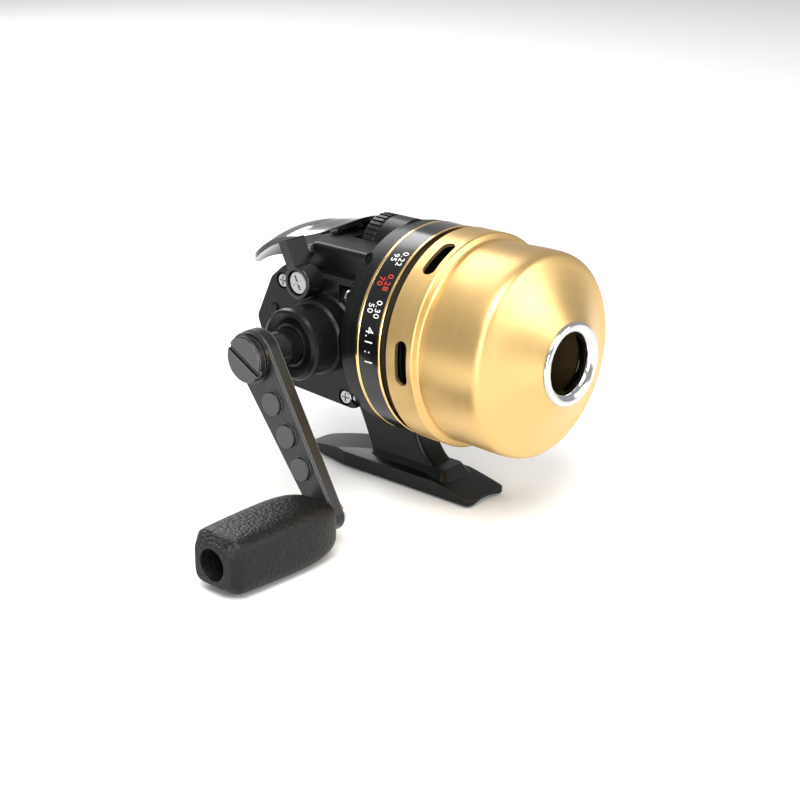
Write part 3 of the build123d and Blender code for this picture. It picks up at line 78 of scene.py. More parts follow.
class Grain(Enum):
    """The kinds of surface texture that the reel's pieces have."""

    CAST = "orange peel of paint on a casting"
    SPUN = "fine lines turned round the reel axis"
    TURNED_X = "fine lines turned round an axis along X"
    MOULDED = "smooth moulding with faint flow marks"
    PEBBLED = "leathery pebbles pressed into rubber"
    GROUND = "fine grinding marks along Y"
    FIBRE = "felted fibres"
    WOUND = "turns of line laid side by side"


@dataclass(frozen=True)
class Finish:
    """One material: its colour, gloss and the grain of its surface.

    Lengths are in metres; depth is the height of the bump.
    """

    name: str
    colour: tuple[float, float, float]
    grain: Grain
    metallic: float = 0.0
    rough: float = 0.4
    rough_spread: float = 0.08
    shade: float = 0.85
    size: float = 0.0010
    depth: float = 0.00002
    coat: float = 0.0
    coat_rough: float = 0.1
    anisotropic: float = 0.0
    specular: float = 0.5
    # edge and edge_wear_and_highlight_colour: width and colour of lighter edges, partly edge wear and partly
    # painted highlight.
    edge: float = 0.0
    edge_wear_and_highlight_colour: tuple[float, float, float] = (0.6, 0.6, 0.6)
    centre: tuple[float, float, float] = (0.0, 0.0, AXIS_Z)
    alpha: float = 1.0
    face: tuple[float, float, float] | None = None
    raised: tuple[float, float, float] | None = None
    raised_x: float = 0.0


class Shader:
    """Builds one node material from a finish."""

    def __init__(self, finish: Finish) -> None:
        """Start an empty material.

        Args:
            finish: what the material looks like.
        """
        self.finish = finish
        self.material = bpy.data.materials.new(finish.name)
        self.material.use_nodes = True
        self.tree = self.material.node_tree
        self.tree.nodes.clear()
        self.output = self.tree.nodes.new("ShaderNodeOutputMaterial")
        self.bsdf = self.tree.nodes.new("ShaderNodeBsdfPrincipled")
        self.tree.links.new(self.bsdf.outputs[0], self.output.inputs[0])
        self.where = self.tree.nodes.new("ShaderNodeTexCoord").outputs["Object"]

    def join(self, source: Socket | float | tuple, target: Socket) -> None:
        """Link a socket to an input, or set the input to a plain value.

        Args:
            source: an output socket, a number or a tuple.
            target: the input it goes to.
        """
        if isinstance(source, bpy.types.NodeSocket):
            self.tree.links.new(source, target)
        else:
            target.default_value = source

    def math(self, operation: str, *values: Socket | float) -> Socket:
        """Add a Math node.

        Args:
            operation: Blender's name for the operation.
            values: its inputs, in order.

        Returns:
            The node's output.
        """
        node = self.tree.nodes.new("ShaderNodeMath")
        node.operation = operation
        for value, socket in zip(values, node.inputs):
            self.join(value, socket)
        return node.outputs[0]

    def spread(self, value: Socket, low: float, high: float) -> Socket:
        """Map 0..1 to low..high.

        Args:
            value: the input.
            low: result at 0.
            high: result at 1.

        Returns:
            The mapped value.
        """
        return self.math("MULTIPLY_ADD", value, high - low, low)

    def noise(self, where: Socket, scale: float, detail: float = 3.0, rough: float = 0.55) -> Socket:
        """Add fractal noise.

        Args:
            where: the coordinates.
            scale: features per metre.
            detail: number of octaves.
            rough: strength of the finer octaves.

        Returns:
            A value from 0 to 1.
        """
        node = self.tree.nodes.new("ShaderNodeTexNoise")
        self.join(where, node.inputs["Vector"])
        node.inputs["Scale"].default_value = scale
        node.inputs["Detail"].default_value = detail
        node.inputs["Roughness"].default_value = rough
        return node.outputs["Fac"]

    def cells(self, where: Socket, scale: float) -> Socket:
        """Add a Voronoi pattern of soft pebbles.

        Args:
            where: the coordinates.
            scale: cells per metre.

        Returns:
            Distance from the cell's centre.
        """
        node = self.tree.nodes.new("ShaderNodeTexVoronoi")
        node.feature = "SMOOTH_F1"
        self.join(where, node.inputs["Vector"])
        node.inputs["Scale"].default_value = scale
        node.inputs["Smoothness"].default_value = 0.35
        return node.outputs["Distance"]

    def split(self, where: Socket) -> tuple[Socket, Socket, Socket]:
        """Split a vector.

        Args:
            where: the vector.

        Returns:
            Its x, y and z.
        """
        node = self.tree.nodes.new("ShaderNodeSeparateXYZ")
        self.join(where, node.inputs[0])
        return node.outputs[0], node.outputs[1], node.outputs[2]

    def vector(self, x: Socket | float, y: Socket | float, z: Socket | float) -> Socket:
        """Join three values into a vector.

        Args:
            x: its x.
            y: its y.
            z: its z.

        Returns:
            The vector.
        """
        node = self.tree.nodes.new("ShaderNodeCombineXYZ")
        for value, socket in zip((x, y, z), node.inputs):
            self.join(value, socket)
        return node.outputs[0]

    def around(self, along: int) -> tuple[Socket, Socket, Socket]:
        """Polar coordinates about a line through the finish's centre.

        Radius is the root of the sum of the squares of the two cross
        coordinates, and the angle is their arctangent.

        Args:
            along: the line's direction, 0 for X or 1 for Y.

        Returns:
            Radius, distance along the line, and angle.
        """
        parts = self.split(self.where)
        cross = [i for i in (0, 1, 2) if i != along]
        a, b = (self.math("SUBTRACT", parts[i], self.finish.centre[i]) for i in cross)
        square = self.math("ADD", self.math("MULTIPLY", a, a), self.math("MULTIPLY", b, b))
        return self.math("SQRT", square), parts[along], self.math("ARCTAN2", a, b)

    def streaks(self, along: int) -> tuple[Socket, Socket]:
        """Turning marks: noise that changes fast along the profile and slowly round it.

        Args:
            along: the turning axis, 0 for X or 1 for Y.

        Returns:
            Fine lines and broader uneven bands, both from 0 to 1.
        """
        radius, run, angle = self.around(along)
        slow = self.math("MULTIPLY", angle, self.finish.size * 1.6)
        fine = self.noise(self.vector(radius, run, slow), 1.0 / self.finish.size, 4.0, 0.7)
        wide = self.noise(self.vector(radius, run, slow), 0.16 / self.finish.size, 2.0, 0.5)
        return fine, wide

    def bump(self, height: Socket, depth: float, below: Socket | None = None) -> Socket:
        """Add a bump.

        Args:
            height: the height pattern, 0 to 1.
            depth: its height in metres.
            below: a normal to build on.

        Returns:
            The bumped normal.
        """
        node = self.tree.nodes.new("ShaderNodeBump")
        node.inputs["Strength"].default_value = 1.0
        node.inputs["Distance"].default_value = depth
        self.join(height, node.inputs["Height"])
        if below is not None:
            self.join(below, node.inputs["Normal"])
        return node.outputs[0]

    def pattern(self) -> tuple[Socket, Socket, Socket]:
        """Work out the grain.

        Returns:
            Height for the bump, shade for the colour, and roughness pattern, each 0 to 1.
        """
        kind, size = self.finish.grain, self.finish.size
        if kind in (Grain.SPUN, Grain.TURNED_X, Grain.WOUND):
            fine, wide = self.streaks(0 if kind is Grain.TURNED_X else 1)
            return fine, self.math("MULTIPLY_ADD", fine, 0.55, self.math("MULTIPLY", wide, 0.45)), wide
        if kind is Grain.GROUND:
            x, y, z = self.split(self.where)
            fine = self.noise(self.vector(x, self.math("MULTIPLY", y, 0.04), z), 1.0 / size, 4.0, 0.7)
            return fine, fine, self.noise(self.where, 0.1 / size)
        if kind is Grain.PEBBLED:
            cell = self.cells(self.where, 1.0 / size)
            fine = self.noise(self.where, 3.0 / size, 2.0)
            dome = self.math("SUBTRACT", 1.0, self.math("MULTIPLY", cell, 1.5))
            return self.math("MULTIPLY_ADD", fine, 0.2, dome), dome, fine
        if kind is Grain.FIBRE:
            x, y, z = self.split(self.where)
            fine = self.noise(self.vector(self.math("MULTIPLY", x, 0.3), y, z), 1.0 / size, 5.0, 0.75)
            return fine, fine, fine
        fine = self.noise(self.where, 1.0 / size, 2.0, 0.5)
        wide = self.noise(self.where, 0.08 / size, 3.0, 0.6)
        return fine, wide, self.math("MULTIPLY_ADD", fine, 0.3, self.math("MULTIPLY", wide, 0.7))

    def blend(self, factor: Socket | float, low: Socket | tuple, high: Socket | tuple) -> Socket:
        """Mix two colours.

        Args:
            factor: 0 for low, 1 for high.
            low: a colour.
            high: another.

        Returns:
            The mixed colour.
        """
        node = self.tree.nodes.new("ShaderNodeMix")
        node.data_type = "RGBA"
        self.join(factor, node.inputs["Factor"])
        for value, name in ((low, "A"), (high, "B")):
            socket = [s for s in node.inputs if s.name == name and s.type == "RGBA"][0]
            self.join(value if isinstance(value, bpy.types.NodeSocket) else (*value, 1.0), socket)
        return [s for s in node.outputs if s.type == "RGBA"][0]

    def build(self) -> bpy.types.Material:
        """Make the whole material.

        Returns:
            The finished material.
        """
        f = self.finish
        height, shade, gloss = self.pattern()
        dark = tuple(c * f.shade for c in f.colour)
        light = tuple(min(1.0, c * (2.0 - f.shade)) for c in f.colour)
        colour = self.blend(shade, dark, light)
        dust = self.noise(self.where, DUST_SCALE, 5.0, 0.65)
        rough = self.spread(gloss, f.rough - f.rough_spread, f.rough + f.rough_spread)
        rough = self.math("ADD", rough, self.spread(dust, -0.5 * f.rough_spread, 0.5 * f.rough_spread))
        normal = self.bump(height, f.depth)
        if f.face is not None:
            colour = self.facing(colour, f)
        if f.edge > 0:
            colour = self.edge_wear_and_highlight(colour, f)
        self.join(colour, self.bsdf.inputs["Base Color"])
        self.join(rough, self.bsdf.inputs["Roughness"])
        self.join(normal, self.bsdf.inputs["Normal"])
        self.bsdf.inputs["Metallic"].default_value = f.metallic
        self.bsdf.inputs["Coat Weight"].default_value = f.coat
        self.bsdf.inputs["Coat Roughness"].default_value = f.coat_rough
        self.bsdf.inputs["Specular IOR Level"].default_value = f.specular
        self.bsdf.inputs["Alpha"].default_value = f.alpha
        if f.anisotropic > 0:
            self.bsdf.inputs["Anisotropic"].default_value = f.anisotropic
            self.bsdf.inputs["Anisotropic Rotation"].default_value = 0.25
            tangent = self.tree.nodes.new("ShaderNodeTangent")
            tangent.direction_type = "RADIAL"
            tangent.axis = "X" if f.grain is Grain.TURNED_X else "Y"
            self.join(tangent.outputs[0], self.bsdf.inputs["Tangent"])
        return self.material

    def facing(self, colour: Socket, finish: Finish) -> Socket:
        """Give faces that look along X one colour, and what stands beyond a plane another.

        Args:
            colour: the colour of every other face.
            finish: gives both colours and the plane.

        Returns:
            The joined colour.
        """
        geometry = self.tree.nodes.new("ShaderNodeNewGeometry")
        x = self.math("ABSOLUTE", self.split(geometry.outputs["Normal"])[0])
        flat = self.math("MULTIPLY", self.math("SUBTRACT", x, FACING_FROM), FACING_GAIN)
        flat = self.math("MINIMUM", self.math("MAXIMUM", flat, 0.0), 1.0)
        mottle = self.noise(self.where, 420.0, 4.0)
        tone = self.blend(mottle, tuple(0.85 * c for c in finish.face), tuple(1.15 * c for c in finish.face))
        colour = self.blend(flat, colour, tone)
        if finish.raised is not None:
            beyond = self.math("LESS_THAN", self.split(self.where)[0], finish.raised_x)
            colour = self.blend(self.math("MULTIPLY", beyond, flat), colour, finish.raised)
        return colour

    def edge_wear_and_highlight(self, colour: Socket, finish: Finish) -> Socket:
        """Blend a lighter colour in where a rounded normal leaves the flat one: partly edge wear, partly a
        painted highlight along the edges.

        The share of edge tint is one less the product of the two normals, raised by a factor.

        Args:
            colour: the colour without the edge tint.
            finish: gives the width and colour of the edge wear and painted highlight.

        Returns:
            The colour with its edges tinted.
        """
        bevel = self.tree.nodes.new("ShaderNodeBevel")
        bevel.samples = 4
        bevel.inputs["Radius"].default_value = finish.edge
        geometry = self.tree.nodes.new("ShaderNodeNewGeometry")
        dot = self.tree.nodes.new("ShaderNodeVectorMath")
        dot.operation = "DOT_PRODUCT"
        self.join(bevel.outputs[0], dot.inputs[0])
        self.join(geometry.outputs["Normal"], dot.inputs[1])
        # Edge tint: partly wear, partly painted highlight on the rounded edges.
        edge_tint = self.math("MULTIPLY", self.math("SUBTRACT", 1.0, dot.outputs["Value"]), EDGE_WEAR_AND_HIGHLIGHT_GAIN)
        patchy = self.noise(self.where, 900.0, 3.0)
        edge_tint = self.math("MULTIPLY", edge_tint, self.spread(patchy, 0.1, 1.1))
        share = self.math("MINIMUM", self.math("MAXIMUM", edge_tint, 0.0), EDGE_WEAR_AND_HIGHLIGHT_MOST)
        return self.blend(share, colour, finish.edge_wear_and_highlight_colour)


FINISHES: dict[str, Finish] = {
    # Lighter edge colour on the frame: partly rubbed paint, partly painted highlight along its edges.
    "frame_black": Finish("frame_black", (0.003, 0.0034, 0.0034), Grain.CAST, rough=0.34, rough_spread=0.05,
                          size=0.0011, depth=0.000010, coat=0.06, coat_rough=0.16, specular=0.20,
                          edge=0.00028, edge_wear_and_highlight_colour=(0.07, 0.07, 0.075)),
    "cover_gold": Finish("cover_gold", (0.72, 0.49, 0.20), Grain.SPUN, metallic=1.0, rough=0.40,
                         rough_spread=0.04, shade=0.93, size=0.00016, depth=0.0000022, anisotropic=0.45,
                         coat=0.06, coat_rough=0.35),
    "trim_gold": Finish("trim_gold", (0.86, 0.62, 0.27), Grain.SPUN, metallic=1.0, rough=0.16,
                        rough_spread=0.04, shade=0.94, size=0.00012, depth=0.0000006, anisotropic=0.4),
    "label": Finish("label", (0.004, 0.004, 0.0045), Grain.MOULDED, rough=0.18, rough_spread=0.03,
                    size=0.0015, depth=0.000002, coat=0.25, coat_rough=0.10, specular=0.3),
    "chrome_guide": Finish("chrome_guide", (0.62, 0.62, 0.63), Grain.SPUN, metallic=1.0, rough=0.11,
                           rough_spread=0.02, shade=0.96, size=0.0006, depth=0.0000002),
    "seal_rubber": Finish("seal_rubber", (0.006, 0.006, 0.006), Grain.MOULDED, rough=0.62, size=0.0006,
                          depth=0.000006, specular=0.25),
    # Bright edge colour on the screws and pins: partly edge wear, partly painted highlight along their
    # edges.
    "screw_steel": Finish("screw_steel", (0.40, 0.40, 0.41), Grain.TURNED_X, metallic=1.0, rough=0.24,
                          shade=0.88, size=0.00012, depth=0.0000012, edge=0.00012,
                          edge_wear_and_highlight_colour=(0.86, 0.86, 0.87), centre=(0.0, 0.0104, 0.0556)),
    "shaft_steel": Finish("shaft_steel", (0.55, 0.55, 0.54), Grain.GROUND, metallic=1.0, rough=0.26,
                          shade=0.85, size=0.00015, depth=0.0000015),
    "gear_brass": Finish("gear_brass", (0.70, 0.48, 0.18), Grain.GROUND, metallic=1.0, rough=0.30,
                         shade=0.86, size=0.0002, depth=0.000002),
    "gear_zinc": Finish("gear_zinc", (0.36, 0.36, 0.37), Grain.CAST, metallic=1.0, rough=0.48,
                        shade=0.8, size=0.0004, depth=0.000008),
    "bush_bronze": Finish("bush_bronze", (0.45, 0.28, 0.12), Grain.CAST, metallic=1.0, rough=0.50,
                          shade=0.8, size=0.00015, depth=0.000004),
    # Bright edge colour on the crank arm and nut is a painted highlight along their edges.
    "handle_black": Finish("handle_black", (0.010, 0.0102, 0.0105), Grain.GROUND, metallic=0.2, rough=0.33,
                           rough_spread=0.04, shade=0.88, size=0.00022, depth=0.0000015, specular=0.35,
                           edge=0.00034, edge_wear_and_highlight_colour=(0.50, 0.50, 0.51), face=(0.026, 0.0265, 0.027),
                           raised=(0.060, 0.061, 0.062), raised_x=-0.0481),
    "neck_black": Finish("neck_black", (0.006, 0.006, 0.007), Grain.TURNED_X, rough=0.18, size=0.0004,
                         rough_spread=0.03, depth=0.000001, coat=0.4, coat_rough=0.06, specular=0.4),
    "grip_rubber": Finish("grip_rubber", (0.0045, 0.0048, 0.0048), Grain.PEBBLED, rough=0.46,
                          rough_spread=0.07, shade=0.7, size=0.00080, depth=0.00011, specular=0.26),
    "grip_liner": Finish("grip_liner", (0.030, 0.030, 0.031), Grain.MOULDED, rough=0.42, size=0.0008,
                         depth=0.000006, specular=0.35),
    "lever_black": Finish("lever_black", (0.004, 0.0042, 0.0045), Grain.MOULDED, rough=0.16,
                          rough_spread=0.03, size=0.0018, depth=0.000004, coat=0.55, coat_rough=0.06,
                          specular=0.45),
    "knob_black": Finish("knob_black", (0.005, 0.005, 0.0055), Grain.MOULDED, rough=0.24,
                         rough_spread=0.04, size=0.0012, depth=0.000004, coat=0.2, coat_rough=0.12,
                         specular=0.35),
    # Lighter edge colour on the drag wheel: partly wear, partly painted highlight along its edges.
    "drag_black": Finish("drag_black", (0.0055, 0.0055, 0.006), Grain.MOULDED, rough=0.33, size=0.0010,
                         depth=0.000005, specular=0.3, edge=0.00015, edge_wear_and_highlight_colour=(0.05, 0.05, 0.05)),
    "spool_plastic": Finish("spool_plastic", (0.025, 0.025, 0.025), Grain.SPUN, rough=0.36, size=0.0003,
                            depth=0.000003, specular=0.35),
    "line_nylon": Finish("line_nylon", (0.46, 0.52, 0.46), Grain.WOUND, rough=0.22, size=0.00035,
                         depth=0.00012, shade=0.7, coat=0.5, coat_rough=0.1),
    # Darker rotor colour: partly the rotor's own dark metal, partly painted shade standing for the shade
    # inside the cover's nose hole and slots.
    "rotor_plate": Finish("rotor_plate", (0.045, 0.045, 0.047), Grain.SPUN, metallic=1.0, rough=0.38,
                          size=0.0002, depth=0.000002, anisotropic=0.3),
    "washer_fibre": Finish("washer_fibre", (0.18, 0.11, 0.06), Grain.FIBRE, rough=0.85, size=0.0004,
                           depth=0.00003, shade=0.7),
    "brake_rubber": Finish("brake_rubber", (0.012, 0.012, 0.012), Grain.MOULDED, rough=0.7, size=0.0005,
                           depth=0.00001, specular=0.3),
    "spring_steel": Finish("spring_steel", (0.5, 0.5, 0.51), Grain.GROUND, metallic=1.0, rough=0.25,
                           size=0.0001, depth=0.000002),
    "ink_white": Finish("ink_white", (0.72, 0.72, 0.70), Grain.MOULDED, rough=0.38, size=0.0007,
                        depth=0.000002, shade=0.9),
    "ink_red": Finish("ink_red", (0.52, 0.035, 0.025), Grain.MOULDED, rough=0.36, size=0.0007,
                      depth=0.000002, shade=0.88),
    "floor_pale": Finish("floor_pale", (0.80, 0.80, 0.79), Grain.MOULDED, rough=0.75, size=0.01,
                         depth=0.00001, shade=0.985),
}


class Paints:
    """Makes each material once and hands it out by name."""

    def __init__(self) -> None:
        """Start with no material made."""
        self.made: dict[str, bpy.types.Material] = {}

    def get(self, name: str) -> bpy.types.Material:
        """Give a material, made on first use.

        Args:
            name: a key of FINISHES.

        Returns:
            The material.
        """
        if name not in self.made:
            self.made[name] = Shader(FINISHES[name]).build()
        return self.made[name]

    def coat(self, node: str, name: str) -> None:
        """Put one finish on every slot of a CAD node.

        Args:
            node: the CAD node.
            name: a key of FINISHES.
        """
        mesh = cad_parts[node].data
        if not mesh.materials:
            mesh.materials.append(None)
        for i in range(len(mesh.materials)):
            mesh.materials[i] = self.get(name)
        log.info("dressed %s in %s", node, name)


def grid_mesh(name: str, points: np.ndarray, wrap_u: bool, wrap_v: bool,
              cap: bool = False) -> bpy.types.Object:
    """Make a mesh from a grid of points whose rows run round and whose columns run along.

    Faces join (i, j), (i, j+1), (i+1, j+1) and (i+1, j), with indices taken
    modulo the row or column count where the grid closes on itself.

    Args:
        name: the object's name.
        points: array of shape (rows, columns, 3), in metres.
        wrap_u: whether the last row joins the first.
        wrap_v: whether the last column joins the first.
        cap: whether to close the first and last rows with one face each.

    Returns:
        The new object, linked to the scene.
    """
    rows, cols = points.shape[:2]
    i = np.arange(rows if wrap_u else rows - 1)
    j = np.arange(cols if wrap_v else cols - 1)
    a, b = np.meshgrid(i, j, indexing="ij")
    a2, b2 = (a + 1) % rows, (b + 1) % cols
    quads = np.stack([a * cols + b, a * cols + b2, a2 * cols + b2, a2 * cols + b], axis=-1).reshape(-1, 4)
    faces = quads.tolist()
    if cap:
        faces.append(list(range(cols))[::-1])
        faces.append(list(range((rows - 1) * cols, rows * cols)))
    mesh = bpy.data.meshes.new(name)
    mesh.from_pydata(points.reshape(-1, 3).tolist(), [], faces)
    mesh.validate()
    mesh.shade_smooth()
    thing = bpy.data.objects.new(name, mesh)
    bpy.context.scene.collection.objects.link(thing)
    return thing


def outward(thing: bpy.types.Object, crease: float = 0.7) -> None:
    """Merge doubles, turn every face outwards and keep sharp edges sharp.

    Args:
        thing: a closed mesh object.
        crease: angle in radians above which an edge is shaded sharp.
    """
    solid = bmesh.new()
    solid.from_mesh(thing.data)
    bmesh.ops.remove_doubles(solid, verts=solid.verts, dist=MERGE)
    bmesh.ops.recalc_face_normals(solid, faces=solid.faces)
    for edge in solid.edges:
        edge.smooth = not (len(edge.link_faces) == 2 and edge.calc_face_angle(0.0) > crease)
    solid.to_mesh(thing.data)
    solid.free()
    thing.data.shade_smooth()
    thing.data.set_sharp_from_angle(angle=crease)


@dataclass
class SubAssembly:
    """Pieces that belong together, listed under the finish each one wears."""

    paints: Paints
    wears: dict[str, tuple[str, ...]] = field(default_factory=dict)

    def dress(self) -> None:
        """Coat every listed piece."""
        for finish, nodes in self.wears.items():
            for node in nodes:
                self.paints.coat(node, finish)

    def build(self) -> None:
        """Dress the pieces; sub-classes add their own."""
        self.dress()


@dataclass
class Frame(SubAssembly):
    """Cast frame with its gear cover, trim band, bearings and fixed fittings."""

    wears: dict[str, tuple[str, ...]] = field(default_factory=lambda: {
        "frame_black": ("body_frame", "gear_cover", "cover_dowel"),
        "screw_steel": ("gear_cover_screws", "flange_screws", "lever_pin"),
        "trim_gold": ("trim_ring",),
        "seal_rubber": ("seal_ring",),
        "bush_bronze": ("main_bushing", "crank_bush_outer", "crank_bush_inner"),
        "grip_liner": ("guide_bush",),
        "spring_steel": ("return_spring", "spool_clip"),
        "washer_fibre": ("drag_washers",),
        "shaft_steel": ("pawl_pin",)})


@dataclass
class Cover(SubAssembly):
    """Spun front cover with its lock ring and chromed nose ring."""

    wears: dict[str, tuple[str, ...]] = field(default_factory=lambda: {
        "cover_gold": ("front_cover",),
        "spool_plastic": ("cover_lock_ring",),
        "chrome_guide": ("nose_ring",)})


@dataclass
class SpoolUnit(SubAssembly):
    """Spool with its line, and the spinner head with its shaft."""

    wears: dict[str, tuple[str, ...]] = field(default_factory=lambda: {
        "spool_plastic": ("spool",),
        "line_nylon": ("line_winding",),
        "rotor_plate": ("rotor",),
        "shaft_steel": ("main_shaft", "pickup_pins"),
        "screw_steel": ("rotor_nut",),
        "brake_rubber": ("brake_ring",)})


@dataclass
class Crank(SubAssembly):
    """Crank shaft with gear and ratchet, hub, arm, nut and grip pin, and the pinion it drives."""

    wears: dict[str, tuple[str, ...]] = field(default_factory=lambda: {
        "gear_zinc": ("drive_gear", "ratchet_wheel"),
        "gear_brass": ("pinion",),
        "shaft_steel": ("crank_shaft",),
        "neck_black": ("crank_hub", "crank_washer"),
        "handle_black": ("crank_arm", "crank_nut"),
        "screw_steel": ("grip_pin",)})


@dataclass
class DragDial(SubAssembly):
    """Knurled drag wheel with the screw, nut and shoe it works."""

    wears: dict[str, tuple[str, ...]] = field(default_factory=lambda: {
        "drag_black": ("drag_wheel",),
        "shaft_steel": ("drag_screw",),
        "gear_brass": ("drag_nut",),
        "washer_fibre": ("drag_shoe",)})


@dataclass
class ThumbLever(SubAssembly):
    """Thumb lever and the cap it pushes."""

    wears: dict[str, tuple[str, ...]] = field(default_factory=lambda: {
        "lever_black": ("thumb_lever",),
        "grip_liner": ("thrust_cap",)})


@dataclass
class Selector(SubAssembly):
    """Anti-reverse selector knob with its screw, cam and pawl."""

    wears: dict[str, tuple[str, ...]] = field(default_factory=lambda: {
        "knob_black": ("selector_knob",),
        "screw_steel": ("selector_screw",),
        "grip_liner": ("selector_cam",),
        "shaft_steel": ("pawl",)})


@dataclass
class Handle(SubAssembly):
    """The soft grip, with its pebbled flanks, bevelled end and deep end hole."""

    wears: dict[str, tuple[str, ...]] = field(default_factory=lambda: {
        "grip_rubber": ("grip",),
        "grip_liner": ("grip_bush", "grip_retainer")})
    around: int = 192
    hole_r: float = 0.00385
    hole_depth: float = 0.0070
    rim: float = 0.0005
    square: float = 4.4

    def section(self, angle: np.ndarray, half_w: np.ndarray, half_h: np.ndarray) -> np.ndarray:
        """Superellipse round the grip's axis.

        Each point is at cos and sin of the angle, each raised to 2 over the
        exponent with its sign kept, times the half width and half height.

        Args:
            angle: angles round the grip.
            half_w: half width at each station.
            half_h: half height at each station.

        Returns:
            Points (stations, angles, 2) as forward and up offsets.
        """
        power = 2.0 / self.square
        c, s = np.cos(angle), np.sin(angle)
        y = np.sign(c) * np.abs(c) ** power
        z = np.sign(s) * np.abs(s) ** power
        return np.stack([half_w[:, None] * y[None, :], half_h[:, None] * z[None, :]], axis=-1)

    def build(self) -> None:
        """Dress the inner pieces and make the grip's skin."""
        self.dress()
        low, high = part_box("grip")
        inner, outer = high.x, low.x
        centre_y, centre_z = (low.y + high.y) / 2, (low.z + high.z) / 2
        span = inner - outer
        half_w, half_h = (high.y - low.y) / 2, (high.z - low.z) / 2
        share = np.array([0.0, 0.008, 0.022, 0.045, 0.075, 0.12, 0.19, 0.27, 0.36, 0.46, 0.56, 0.66, 0.76,
                          0.85, 0.905, 0.925, 0.928, 0.95, 0.985, 0.996])
        wide = np.array([0.46, 0.55, 0.63, 0.73, 0.80, 0.87, 0.94, 0.98, 1.0, 1.0, 0.995, 0.985, 0.97,
                         0.955, 0.940, 0.930, 0.925, 0.855, 0.735, 0.700])
        x = inner - share * span
        angle = np.linspace(0, 2 * np.pi, self.around, endpoint=False)
        skin = self.section(angle, half_w * wide, half_h * wide)
        rings = np.concatenate([np.broadcast_to(x[:, None, None], (len(x), self.around, 1)), skin], axis=-1)
        radii = np.array([self.hole_r + self.rim, self.hole_r + 0.0001, self.hole_r, self.hole_r, 0.0])
        depth = np.array([outer, outer, outer + 0.0003, outer + self.hole_depth, outer + self.hole_depth])
        circle = np.stack([np.cos(angle), np.sin(angle)], axis=-1)
        inside = np.concatenate([
            np.broadcast_to(depth[:, None, None], (5, self.around, 1)),
            radii[:, None, None] * circle[None, :, :]], axis=-1)
        start = np.concatenate([np.full((1, self.around, 1), inner),
                                0.0023 * circle[None, :, :]], axis=-1)
        mid = np.concatenate([np.full((1, self.around, 1), inner),
                              skin[:1] * 0.8], axis=-1)
        points = np.concatenate([start, mid, rings, inside])
        points[:, :, 1] += centre_y
        points[:, :, 2] += centre_z
        grip = grid_mesh("grip_skin", points, False, True, cap=True)
        outward(grip, 0.6)
        grip.data.materials.append(self.paints.get("grip_rubber"))
        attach(grip, "grip")
        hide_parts("grip")
        log.info("grip_skin made")


@dataclass(frozen=True)
class Mark:
    """One line of numerals on the label band; shift moves it along the reel axis."""

    words: str
    angle: float
    ink: str
    tall: float
    shift: float = 0.0


@dataclass
class Label(SubAssembly):
    """Gloss label band with printed numerals that read round it."""

    wears: dict[str, tuple[str, ...]] = field(default_factory=lambda: {"label": ("label_band",)})
    radius: float = 0.0271
    proud: float = 0.00005
    mid_y: float = -0.0142
    row: float = 0.00115
    pairs: tuple[tuple[str, str, float, str], ...] = (
        ("0.22", "95", 126.0, "ink_white"),
        ("0.28", "70", 141.0, "ink_red"),
        ("0.30", "50", 156.0, "ink_white"),
        ("0.22", "95", 54.0, "ink_white"),
        ("0.28", "70", 39.0, "ink_red"),
        ("0.30", "50", 24.0, "ink_white"),
    )
    ratios: tuple[float, ...] = (176.0, 4.0)

    def marks(self) -> list[Mark]:
        """List every line of numerals.

        Returns:
            Two rows for each pair, one line for each gear ratio.
        """
        found = []
        for top, bottom, angle, ink in self.pairs:
            found.append(Mark(top, angle, ink, 0.0018, -self.row))
            found.append(Mark(bottom, angle, ink, 0.0018, self.row))
        found.extend(Mark("4.1 : 1", angle, "ink_white", 0.0026) for angle in self.ratios)
        return found

    def wrap(self, flat: np.ndarray, mark: Mark) -> np.ndarray:
        """Roll flat lettering round the band.

        The distance across the page becomes an angle, distance over radius,
        and the page's height runs along the reel axis.

        Args:
            flat: points (n, 3), page x, page y and thickness.
            mark: the line's place.

        Returns:
            Points (n, 3) in the row frame.
        """
        turn = math.radians(mark.angle) + flat[:, 0] / self.radius
        r = self.radius + flat[:, 2]
        y = self.mid_y + mark.shift - flat[:, 1]
        return np.stack([r * np.cos(turn), y, AXIS_Z + r * np.sin(turn)], axis=-1)

    def one(self, number: int, mark: Mark) -> None:
        """Make one line of numerals.

        Args:
            number: its place in the list, for its name.
            mark: what and where.
        """
        curve = bpy.data.curves.new(f"numerals_{number}", "FONT")
        curve.body = mark.words
        curve.size = mark.tall * 1.38
        curve.align_x = "CENTER"
        curve.align_y = "CENTER"
        curve.extrude = self.proud
        curve.space_character = 1.08
        text = bpy.data.objects.new(f"text_{number}", curve)
        bpy.context.scene.collection.objects.link(text)
        bpy.context.view_layer.update()
        mesh = bpy.data.meshes.new_from_object(text)
        bpy.data.objects.remove(text)
        flat = np.empty(len(mesh.vertices) * 3)
        mesh.vertices.foreach_get("co", flat)
        mesh.vertices.foreach_set("co", self.wrap(flat.reshape(-1, 3), mark).ravel())
        mesh.name = f"numerals_{number}"
        mesh.materials.clear()
        mesh.materials.append(self.paints.get(mark.ink))
        piece = bpy.data.objects.new(f"numerals_{number}", mesh)
        bpy.context.scene.collection.objects.link(piece)
        outward(piece, 0.5)
        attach(piece, "frame")
        log.info("numerals %s made", mark.words)

    def build(self) -> None:
        """Dress the band and print every line."""
        self.dress()
        for number, mark in enumerate(self.marks()):
            self.one(number, mark)


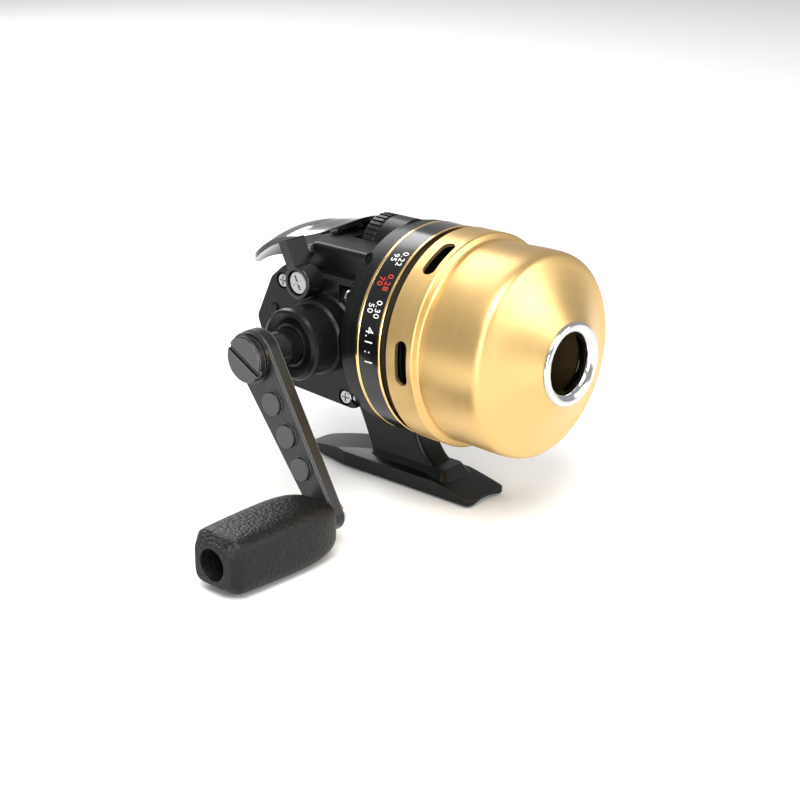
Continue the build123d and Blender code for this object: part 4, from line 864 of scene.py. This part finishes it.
@dataclass
class Studio:
    """Floor, lights and camera; distances are in millimetres before the scale by ratio."""

    paints: Paints
    ratio: float = 0.91525
    azimuth: float = -47.755
    elevation: float = 19.965
    distance: float = 501.509
    shift_x: float = -7.899
    shift_y: float = -20.819
    lens: float = 80.617
    floor_half: float = 2.5
    floor_steps: int = 41
    sky: float = 0.50

    def floor(self, low: float) -> None:
        """Lay a wide pale floor, a flat grid at one height.

        Args:
            low: height of the floor.
        """
        across = np.linspace(-self.floor_half, self.floor_half, self.floor_steps)
        x, y = np.meshgrid(across, across, indexing="ij")
        points = np.stack([x, y, np.full_like(x, low)], axis=-1)
        floor = grid_mesh("floor", points, False, False)
        if floor.data.polygons[0].normal.z < 0:
            floor.data.flip_normals()
        floor.data.materials.append(self.paints.get("floor_pale"))
        floor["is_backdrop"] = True

    def lamp(self, name: str, place: tuple, aim: tuple, size: float, power: float, tone: tuple) -> None:
        """Hang one soft square lamp.

        Args:
            name: the lamp's name.
            place: where it hangs.
            aim: the point it faces.
            size: its side.
            power: its power in watts.
            tone: its colour.
        """
        data = bpy.data.lights.new(name, "AREA")
        data.size = size
        data.energy = power
        data.color = tone
        lamp = bpy.data.objects.new(name, data)
        lamp.location = place
        lamp.rotation_euler = (Vector(aim) - Vector(place)).to_track_quat("-Z", "Y").to_euler()
        bpy.context.scene.collection.objects.link(lamp)

    def light(self) -> None:
        """Hang the lamps and set the sky."""
        world = bpy.data.worlds.new("sky")
        world.use_nodes = True
        world.node_tree.nodes["Background"].inputs[0].default_value = (1.0, 1.0, 1.0, 1.0)
        world.node_tree.nodes["Background"].inputs[1].default_value = self.sky
        bpy.context.scene.world = world
        aim = (0.0, -0.02, 0.04)
        self.lamp("key", (-0.35, -0.25, 0.75), aim, 0.55, 9.0, (1.0, 0.99, 0.97))
        self.lamp("side", (-0.75, -0.55, 0.22), aim, 0.45, 4.0, (0.97, 0.98, 1.0))
        self.lamp("front", (0.40, -0.85, 0.35), aim, 0.50, 4.5, (1.0, 1.0, 1.0))
        self.lamp("back", (0.25, 0.70, 0.55), aim, 0.50, 5.0, (1.0, 1.0, 1.0))
        bpy.context.scene.view_settings.view_transform = "Standard"

    def camera(self) -> None:
        """Set the camera.

        The back vector is (sin a cos e, -cos a cos e, sin e); the camera stands
        along it from the reel axis, moved sideways and up by the two shifts.
        """
        a, e = math.radians(self.azimuth), math.radians(self.elevation)
        back = Vector((math.sin(a) * math.cos(e), -math.cos(a) * math.cos(e), math.sin(e)))
        right = Vector((math.cos(a), math.sin(a), 0.0))
        up = back.cross(right)
        offset = right * self.shift_x + up * self.shift_y + back * self.distance
        data = bpy.data.cameras.new("camera")
        data.lens = self.lens
        data.sensor_width = 36.0
        data.clip_start, data.clip_end = 0.01, 20.0
        cam = bpy.data.objects.new("camera", data)
        cam.location = offset * (self.ratio / 1000.0) + Vector((0.0, BAND_BACK, AXIS_Z))
        turn = Matrix((right, up, back)).transposed()
        cam.rotation_euler = turn.to_euler()
        bpy.context.scene.collection.objects.link(cam)
        bpy.context.scene.camera = cam

    def build(self, low: float) -> None:
        """Set the whole studio.

        Args:
            low: height of the floor.
        """
        self.floor(low)
        self.light()
        self.camera()


def main() -> None:
    """Build and dress every piece."""
    logging.basicConfig(level=logging.INFO, format="%(message)s")
    cad_low, cad_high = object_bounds()
    paints = Paints()
    for assembly in (Frame, Cover, SpoolUnit, Crank, Handle, DragDial, ThumbLever, Selector, Label):
        assembly(paints).build()
        log.info("%s done", assembly.__name__)
    Studio(paints).build(cad_low.z - FLOOR_GAP)


if __name__ == "__main__":
    main()
